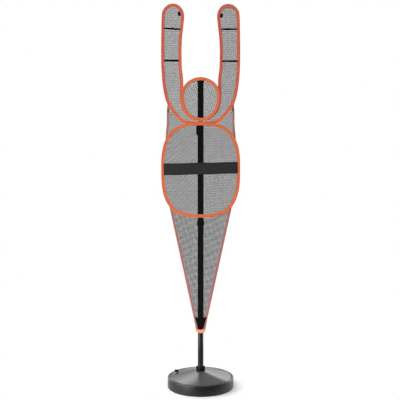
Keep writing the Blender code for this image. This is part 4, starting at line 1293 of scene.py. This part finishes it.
def make_pockets():
    low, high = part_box("pole_pocket")
    cloth = POCKET_CLOTH
    pocket = d_loop(high.x - cloth / 2, low.y + cloth / 2)
    wall_of_cloth(
        "pole_pocket_wall", ["pole_pocket"], pocket, low.z, high.z - cloth, rows_in=POCKET_ROWS
    )
    depths = np.linspace(low.y, high.y, ROOF_STEPS)
    right = sorted((y, x) for x, y in pocket if x >= 0)
    widths = 2 * np.interp(depths, *zip(*right)) + cloth
    sections = np.stack([slab(width, cloth) for width in widths])
    path = np.stack([np.zeros(ROOF_STEPS), depths, np.full(ROOF_STEPS, high.z - cloth / 2)], 1)
    roof = sweep("pole_pocket_roof", path, (1, 0, 0), (0, 0, 1), sections, closed=False)
    dress(roof, WEBBING, "mannequin")

    low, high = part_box("shoulder_strap")
    front = low.y + cloth / 2
    loop = d_loop(STRAP_LOOP, front)
    wall_of_cloth(
        "shoulder_pole_strap", ["shoulder_strap"], loop, low.z, high.z, rows_in=POCKET_ROWS
    )
    tab = [(x, front + TAB_PROUD) for x in (low.x + TAB_INSET, TAB_END)]
    wall_of_cloth(
        "shoulder_strap_tab", [], tab, low.z + TAB_SHORTER, high.z - TAB_SHORTER, closed=False
    )


def make_pouch():
    low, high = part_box("leg_pouch")
    half_top, end = LEG_KNEE[0] - POUCH_LAP, LEG_END[0] - POUCH_LAP
    round_centre = low.z + end
    x = np.linspace(POUCH_EDGE - half_top, half_top - POUCH_EDGE, POUCH_STEPS)
    reach = np.abs(x)
    straight = round_centre + (reach - end) * (LEG_KNEE[1] - round_centre) / (half_top - end)
    bowl = round_centre - np.sqrt(np.clip(end**2 - reach**2, 0, None))
    bottom = np.where(reach > end, straight, bowl)
    notch = np.clip((reach - LEG_STRIP_WIDTH / 2) / (half_top - LEG_STRIP_WIDTH / 2), 0, 1)
    top = LEG_KNEE[1] + POUCH_NOTCH * notch
    base = slab(1.0, CLOTH, POUCH_SPLITS)
    sections = np.repeat(base[None], len(x), axis=0)
    share = 2 * base[:, 0]
    middle, half = (top + bottom) / 2, np.maximum((top - bottom) / 2, CLOTH)
    sections[..., 0] = share[None] * half[:, None]
    puff = POUCH_PUFF * (1 - (x / half_top) ** 2)[:, None] * np.cos(share * math.pi / 2)[None]
    sections[..., 1] -= puff * (0.8 + 0.2 * np.sin(x / 0.004))[:, None]
    depth = SHEET_LAYER - EDGE_TAPE_DEPTH - TAPE / 2 - CLOTH / 2 - GAP
    path = upright(np.stack([x, middle], 1), depth)
    pouch = sweep("leg_pocket", path, (0, 0, 1), (0, 1, 0), sections, closed=False)
    rows = []
    for z in (bottom + POUCH_ROW, top - POUCH_ROW):
        line = upright(np.stack([x, z], 1), depth - CLOTH / 2 - STITCH_PROUD)
        rows.append(row(line[3:-3], (0, -1, 0)))
    fasten(
        pouch, ["leg_pouch"], rows, flat=(2 * half_top, float(top.max() - bottom.min())),
        held="stretched", area=float(np.trapz(top - bottom, x)),
    )


def make_sleeve_and_hem():
    low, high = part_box("leg_sleeve")
    front = low.y + CLOTH / 2
    wing = high.x - 0.001
    sleeve = [
        (SLEEVE_RADIUS, front + CLOTH),
        *arc((0, 0), SLEEVE_RADIUS, 0, 180, LOOP_STEPS),
        (-SLEEVE_RADIUS, front + CLOTH),
        (-wing, front + CLOTH / 2),
        (-wing, front),
        (wing, front),
        (wing, front + CLOTH / 2),
    ]
    wall_of_cloth("leg_pole_sleeve", ["leg_sleeve"], sleeve, low.z, high.z, CLOTH)

    low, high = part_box("mouth_hem")
    front = low.y + HEM_CLOTH / 2
    hem = [
        *arc((0, 0), HEM_RADIUS, 20, 160, HEM_STEPS),
        (-high.x + 0.003, low.y + 0.003),
        (-high.x + 0.001, front + 0.0004),
        (0.0, front),
        (high.x - 0.001, front + 0.0004),
        (high.x - 0.003, low.y + 0.003),
    ]

    def smile(x, y):
        curve = (np.abs(x) / high.x) ** 2 * np.clip(-y / HEM_DEPTH, 0, 1)
        return HEM_SMILE * curve - HEM_SMILE / 4

    wall_of_cloth(
        "mouth_hem_band", ["mouth_hem"], hem, low.z, high.z, HEM_CLOTH, (HEM_ROW,), lift=smile,
        puff=HEM_PUFF, look=LIT_HEM_ORANGE, slot="orange_tape", thread=ORANGE_THREAD,
    )


make_strips()
make_straps()
make_pockets()
make_pouch()
make_sleeve_and_hem()


# Base, pole and lock

# Tank: its groove lies so far in from its side, and its hub holds the socket.
GROOVE_IN = 0.013
HUB = 0.031
WELL_FLOOR = 0.012
TANK_SHELL = 0.0035
FOOT_RISE = 0.004

NECK_RADIUS, NECK_FOOT, NECK_BORE = 0.0135, 0.0165, 0.0085
GASKET_INNER, GASKET_OUTER = 0.0083, 0.0115
SHANK_CORE, SHANK_RIDGE = 0.0072, 0.0080
SHANK_PITCH, SHANK_RIDGES = 0.0016, 3
CAP_STEPS = 144

SOCKET_INNER, SOCKET_OUTER = 0.0178, 0.0206
SOCKET_RISE = 0.022
FLANGE_RADIUS, FLANGE_HEIGHT = 0.027, 0.003
EAR_HALF, EAR_ROUNDING = 0.0075, 0.0022

TUBE_LIP = 0.0003
LOWER_TUBE, LOWER_WALL = 0.0175, 0.0015
UPPER_TUBE, UPPER_WALL = 0.0150, 0.0012

COLLAR_STEPS = 288
BARREL = 0.0209
COLLAR_BORE_LOW, COLLAR_BORE_HIGH = 0.0195, 0.0156
CONE_LOW, CONE_HIGH = 0.99390, 1.00320

# Finger grips: how many flutes, and for each how deep, how sharp, how far in and from what radius.
FLUTES = 12
CAP_GRIP = (0.0006, 0.5, 1.4, 0.0112)
COLLAR_GRIP = (0.0007, 0.6, 1.55, 0.0201)


def fluting(grip, r, turn):
    """What flutes add to the radii of a turned profile."""
    depth, sharpness, inward, from_radius = grip
    return (r > from_radius) * depth * (2 * abs(math.cos(FLUTES * turn / 2)) ** sharpness - inward)


def make_tank():
    low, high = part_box("base_tank")
    radius, top = high.x, high.z
    rim = top - TANK_RISE
    groove = radius - GROOVE_IN
    well = SOCKET_OUTER + GAP
    slope = (top - 0.0015 - rim) / (groove - HUB)
    under = rim - TANK_SHELL
    outside = [
        (0, WELL_FLOOR, 0),
        (well, WELL_FLOOR, 0.001),
        (well, top, 0.001),
        (HUB, top, 0.004),
        (groove - 0.002, rim + 0.002 * slope, 0.001),
        (groove, rim - 0.003, 0.0006),
        (groove + 0.003, rim - 0.003, 0.0006),
        (groove + 0.0042, rim - 0.0002, 0.0006),
        (radius - 0.0002, rim, 0.0078),
        (radius, FOOT_RISE, 0.001),
        (radius - 0.003, 0, 0.001),
        (radius - 0.016, 0, 0.001),
        (radius - 0.020, FOOT_RISE, 0.001),
        (0, FOOT_RISE, 0),
    ]
    hollow = [
        (0, FOOT_RISE + TANK_SHELL, 0),
        (radius - 0.024, FOOT_RISE + TANK_SHELL, 0.003),
        (radius - TANK_SHELL, 0.010, 0.003),
        (radius - TANK_SHELL, under, 0.004),
        (groove - 0.004, under - 0.001, 0.001),
        (HUB + 0.004, top - TANK_SHELL, 0.002),
        (well + TANK_SHELL, top - TANK_SHELL - 0.001, 0.002),
        (well + TANK_SHELL, WELL_FLOOR - TANK_SHELL + 0.001, 0.002),
        (0, WELL_FLOOR - TANK_SHELL, 0),
    ]
    return turned("base_shell", [*outside, *hollow], BASE_STEPS), top


def stand_in(obj, look, body, node_name):
    dress(obj, look, body)
    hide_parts(node_name)


def make_filler(tank):
    """The fill neck on the tank, and its cap and gasket."""
    low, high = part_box("fill_cap")
    seal_low, seal_high = (corner.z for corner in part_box("fill_cap_gasket"))
    place = ((low.x + high.x) / 2, (low.y + high.y) / 2)
    top = seal_low - GAP
    neck = [
        (0, top, 0),
        (NECK_RADIUS, top, 0.0008),
        (NECK_RADIUS + 0.0003, top - 0.002, 0.0004),
        (NECK_FOOT, top - 0.0075, 0.001),
        (NECK_FOOT, top - 0.012, 0),
        (0, top - 0.012, 0),
    ]
    boolean(tank, turned("fill_neck", neck, place=place), "UNION")
    boolean(tank, bore("fill_bore", NECK_BORE, top - 0.024, top + 0.01, place), "DIFFERENCE")
    sharpen(tank)
    stand_in(tank, TANK, "base", "base_tank")

    seal = [
        (GASKET_INNER, seal_low, 0.0003),
        (GASKET_OUTER, seal_low, 0.0006),
        (GASKET_OUTER, seal_high, 0.0006),
        (GASKET_INNER, seal_high, 0.0003),
    ]
    gasket = turned("filler_seal", seal, place=place)
    stand_in(gasket, RUBBER, "cap_lift", "fill_cap_gasket")

    bottom = seal_high + GAP
    ridges = [
        (radius, low.z + 0.0006 + k * SHANK_PITCH + rise, 0)
        for k in range(SHANK_RIDGES)
        for radius, rise in ((SHANK_CORE, 0.0), (SHANK_RIDGE, 0.0006))
    ]
    profile = [
        (0, low.z, 0),
        (0.0070, low.z, 0.0004),
        *ridges,
        (0.0076, bottom, 0),
        (0.0122, bottom, 0.0005),
        (0.0124, high.z, 0.0018),
        (0.0092, high.z, 0.0004),
        (0.0088, high.z - 0.0008, 0.0003),
        (0, high.z - 0.0008, 0),
    ]
    cap = turned(
        "filler_cap", profile, CAP_STEPS, place, lambda r, z, turn: fluting(CAP_GRIP, r, turn)
    )
    stand_in(cap, PLASTIC, "cap", "fill_cap")


def make_socket(hub_top):
    low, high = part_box("pole_socket")
    flange_low = hub_top + GAP
    flange_top = flange_low + FLANGE_HEIGHT
    top = hub_top + SOCKET_RISE
    profile = [
        (SOCKET_OUTER, top, 0.0008),
        (SOCKET_OUTER, flange_top + 0.0015, 0.001),
        (SOCKET_OUTER + 0.0015, flange_top, 0.0008),
        (FLANGE_RADIUS, flange_top - 0.0006, 0.0008),
        (FLANGE_RADIUS, flange_low, 0.0004),
        (SOCKET_OUTER, flange_low, 0),
        (SOCKET_OUTER, low.z, 0.0006),
        (SOCKET_INNER, low.z, 0.0004),
        (SOCKET_INNER, top, 0.0006),
    ]
    socket = turned("socket_tube", profile)
    ear_low = (-high.x, -EAR_HALF, flange_top - 0.0008)
    ears = rounded_box("socket_ears", ear_low, (high.x, EAR_HALF, high.z), EAR_ROUNDING)
    boolean(socket, ears, "UNION")
    boolean(socket, bore("socket_bore", SOCKET_INNER, 0.0, 0.2), "DIFFERENCE")
    sharpen(socket)
    stand_in(socket, PLASTIC, "base", "pole_socket")


def bore(name, radius, low, high, place=(0, 0)):
    return turned(name, [(0, high, 0), (radius, high, 0), (radius, low, 0), (0, low, 0)], place=place)


def make_tube(name, node_name, radius, wall, body):
    low, high = (corner.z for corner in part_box(node_name))
    inner = radius - wall
    corners = ((inner, low), (radius, low), (radius, high), (inner, high))
    stand_in(turned(name, [(*at, TUBE_LIP) for at in corners]), ENAMEL, body, node_name)


def make_collar():
    low, high = (corner.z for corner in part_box("twist_collar"))
    profile = [
        (COLLAR_BORE_LOW, low, 0.0004),
        (0.0200, low, 0.0012),
        (BARREL + 0.0002, low + 0.0045, 0.002),
        (BARREL + 0.0005, (low + high) / 2, 0.003),
        (BARREL + 0.0002, high - 0.0060, 0.002),
        (0.0192, high, 0.0014),
        (COLLAR_BORE_HIGH, high, 0.0004),
        (COLLAR_BORE_HIGH, CONE_HIGH, 0),
        (0.0172, CONE_HIGH, 0),
        (0.0180, CONE_LOW, 0),
        (COLLAR_BORE_LOW, CONE_LOW, 0),
    ]

    def grip(r, z, turn):
        fades = np.sin(math.pi * np.clip((z - low) / (high - low), 0, 1)) ** 0.4
        return fades * fluting(COLLAR_GRIP, r, turn)

    collar = turned("lock_collar", profile, COLLAR_STEPS, swell=grip)
    stand_in(collar, PLASTIC, "collar", "twist_collar")


tank, hub_top = make_tank()
make_filler(tank)
make_socket(hub_top)
make_tube("pole_lower_tube", "lower_tube", LOWER_TUBE, LOWER_WALL, "lower_pole")
make_tube("pole_upper_tube", "upper_tube", UPPER_TUBE, UPPER_WALL, "mannequin")
make_collar()

for look, names in (
    (PLASTIC, ("lower_tube_foot", "lock_ferrule", "lock_collet", "upper_tube_guide", "upper_tube_cap")),
    (WIRE, ("head_wire", "torso_wire", "arms_wire")),
):
    for name in names:
        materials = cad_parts[name].data.materials
        materials.clear()
        materials.append(look)


# Floor, light and camera

WHITE = (1, 1, 1, 1)
FLOOR_SHARE = 0.8
FLOOR_GLOW = 0.05
FLOOR_SIZE = 80
WHITE_FROM, WHITE_TO = 0.20, 0.28

# What shines sees the floor dim in front, where the studio is, and dimmer farther off.
FRONT_FROM, FRONT_TO = -0.34, -0.18
MIRRORED_FRONT, MIRRORED_FLOOR, MIRRORED_FAR = 0.15, 0.95, 0.35
FAR_FROM, FAR_TO = 0.5, 0.9

# White walls all round, with the room behind the camera dim in what shines.
BEHIND_CAMERA = 0.25
BACK_LEFT, BACK_RIGHT = 0.5, 0.95
LEFT_FROM, LEFT_TO = -0.1, 0.05
CEILING_FROM, CEILING_TO = 0.50, 0.56
CEILING = 0.25
BEHIND_FROM, BEHIND_TO = -0.6, -0.1
ROOM_LIGHT = 0.62

# Each lamp: its place, what it faces, its size, and how many times as bright as white paper it is.
LAMPS = {
    "key": ((-0.5, -3.0, 2.6), (0, 0, 1.2), (2.2, 1.4), 3.2),
    "left_window": ((-2.1, -0.7, 1.15), (0, 0, 1.1), (0.8, 2.3), 9.0),
    "left_low": ((-0.48, -0.60, 0.17), (0, 0, 0.12), (0.2, 0.34), 14.0),
    "right_low": ((0.72, 0.35, 0.17), (0, 0, 0.12), (0.36, 0.34), 6.5),
    "left_rim": ((-0.62, 0.45, 0.15), (0, 0, 0.12), (0.36, 0.3), 5.0),
    "back_left_top": ((-0.93, 4.00, 3.65), (-0.93, 0, 3.65), (1.38, 1.3), 1.35),
    "back_left_middle": ((-0.93, 4.02, 3.35), (-0.93, 0, 3.35), (1.38, 1.9), 0.9),
    "back_left": ((-0.93, 4.04, 3.05), (-0.93, 0, 3.05), (1.38, 2.5), 0.65),
    "back_right_top": ((0.95, 4.0, 2.33), (0.95, 0, 2.33), (1.3, 0.66), 0.8),
    "back_right_middle": ((0.95, 4.02, 2.05), (0.95, 0, 2.05), (1.3, 1.1), 0.7),
    "back_right": ((0.95, 4.04, 1.68), (0.95, 0, 1.68), (1.3, 1.56), 0.5),
}


def glow(tree, strength):
    return node(tree, "Emission", {"Color": WHITE, "Strength": strength}).outputs[0]


def seen_clear(tree):
    """Which rays see plainly, from the camera or through glass, and which see a mirrored view."""
    path = node(tree, "LightPath").outputs
    clear = arithmetic(tree, "MAXIMUM", path["Is Camera Ray"], path["Is Transmission Ray"])
    return clear, path["Is Glossy Ray"]


def make_floor():
    """A floor that keeps the shadows near the object and fades to plain white farther off."""
    material = bpy.data.materials.new("studio_floor")
    material.use_nodes = True
    tree = material.node_tree
    tree.nodes.clear()
    place = node(tree, "TexCoord").outputs["Object"]
    clear, glossy = seen_clear(tree)
    matt = node(tree, "BsdfDiffuse", {"Color": (FLOOR_SHARE,) * 3 + (1,)}).outputs[0]
    near_light = glow(tree, arithmetic(tree, "MULTIPLY", clear, FLOOR_GLOW))
    near = node(tree, "AddShader", {0: matt, 1: near_light}).outputs[0]
    depth = part(tree, place, "Y")
    floor_seen = spread(tree, depth, MIRRORED_FRONT, MIRRORED_FLOOR, FRONT_FROM, FRONT_TO)
    far = node(tree, "VectorMath", {0: place}, operation="LENGTH").outputs["Value"]
    fading = spread(tree, far, 1.0, MIRRORED_FAR, FAR_FROM, FAR_TO)
    mirrored = arithmetic(tree, "MULTIPLY", floor_seen, fading)
    plain = glow(tree, blend_values(tree, glossy, 1.0, mirrored))
    away = spread(tree, far, 0, 1, WHITE_FROM, WHITE_TO, interpolation_type="SMOOTHSTEP")
    share = arithmetic(tree, "MAXIMUM", arithmetic(tree, "MULTIPLY", away, clear), glossy)
    both = node(tree, "MixShader", {0: share, 1: near, 2: plain}).outputs[0]
    node(tree, "OutputMaterial", {"Surface": both})
    bpy.ops.mesh.primitive_plane_add(size=FLOOR_SIZE, location=(0, 0, 0))
    floor = bpy.context.object
    floor.name = "studio_floor"
    floor.data.materials.append(material)


def make_world():
    world = bpy.data.worlds.new("studio")
    bpy.context.scene.world = world
    world.use_nodes = True
    tree = world.node_tree
    tree.nodes.clear()
    x, y, z = node(tree, "SeparateXYZ", {0: node(tree, "TexCoord").outputs["Generated"]}).outputs
    wall = spread(tree, y, BEHIND_CAMERA, 1.0, BEHIND_FROM, BEHIND_TO)
    ceiling = spread(tree, z, 1.0, CEILING, CEILING_FROM, CEILING_TO)
    sides = spread(tree, x, BACK_LEFT, BACK_RIGHT, LEFT_FROM, LEFT_TO)
    room = arithmetic(tree, "MULTIPLY", arithmetic(tree, "MULTIPLY", wall, sides), ceiling)
    clear, glossy = seen_clear(tree)
    white = arithmetic(tree, "MAXIMUM", clear, arithmetic(tree, "MULTIPLY", glossy, room))
    seen = arithmetic(tree, "MAXIMUM", clear, glossy)
    strength = blend_values(tree, seen, ROOM_LIGHT, white)
    background = node(tree, "Background", {"Color": WHITE, "Strength": strength}).outputs[0]
    node(tree, "OutputWorld", {"Surface": background})


def place_facing(obj, place, target):
    """Puts a lamp or camera at a place in the scene, facing a target."""
    bpy.context.scene.collection.objects.link(obj)
    obj.location = place
    aim = Vector(target) - Vector(place)
    obj.rotation_euler = aim.to_track_quat("-Z", "Y").to_euler()
    return aim.length


def add_lamp(name, place, target, size, radiance):
    light = bpy.data.lights.new(name, "AREA")
    light.shape = "RECTANGLE"
    light.size, light.size_y = size
    light.energy = radiance * math.pi * size[0] * size[1]
    place_facing(bpy.data.objects.new(name, light), place, target)


def make_camera():
    camera = bpy.data.cameras.new("photo_camera")
    obj = bpy.data.objects.new("photo_camera", camera)
    place = (CAMERA_TARGET[0], -CAMERA_DISTANCE, CAMERA_TARGET[2])
    distance = place_facing(obj, place, CAMERA_TARGET)
    camera.sensor_width = SENSOR
    camera.lens = SENSOR * distance / VIEW_WIDTH
    bpy.context.scene.camera = obj


make_floor()
make_world()
for name, lamp in LAMPS.items():
    add_lamp(name, *lamp)
make_camera()

bpy.context.scene.view_settings.view_transform = "Standard"
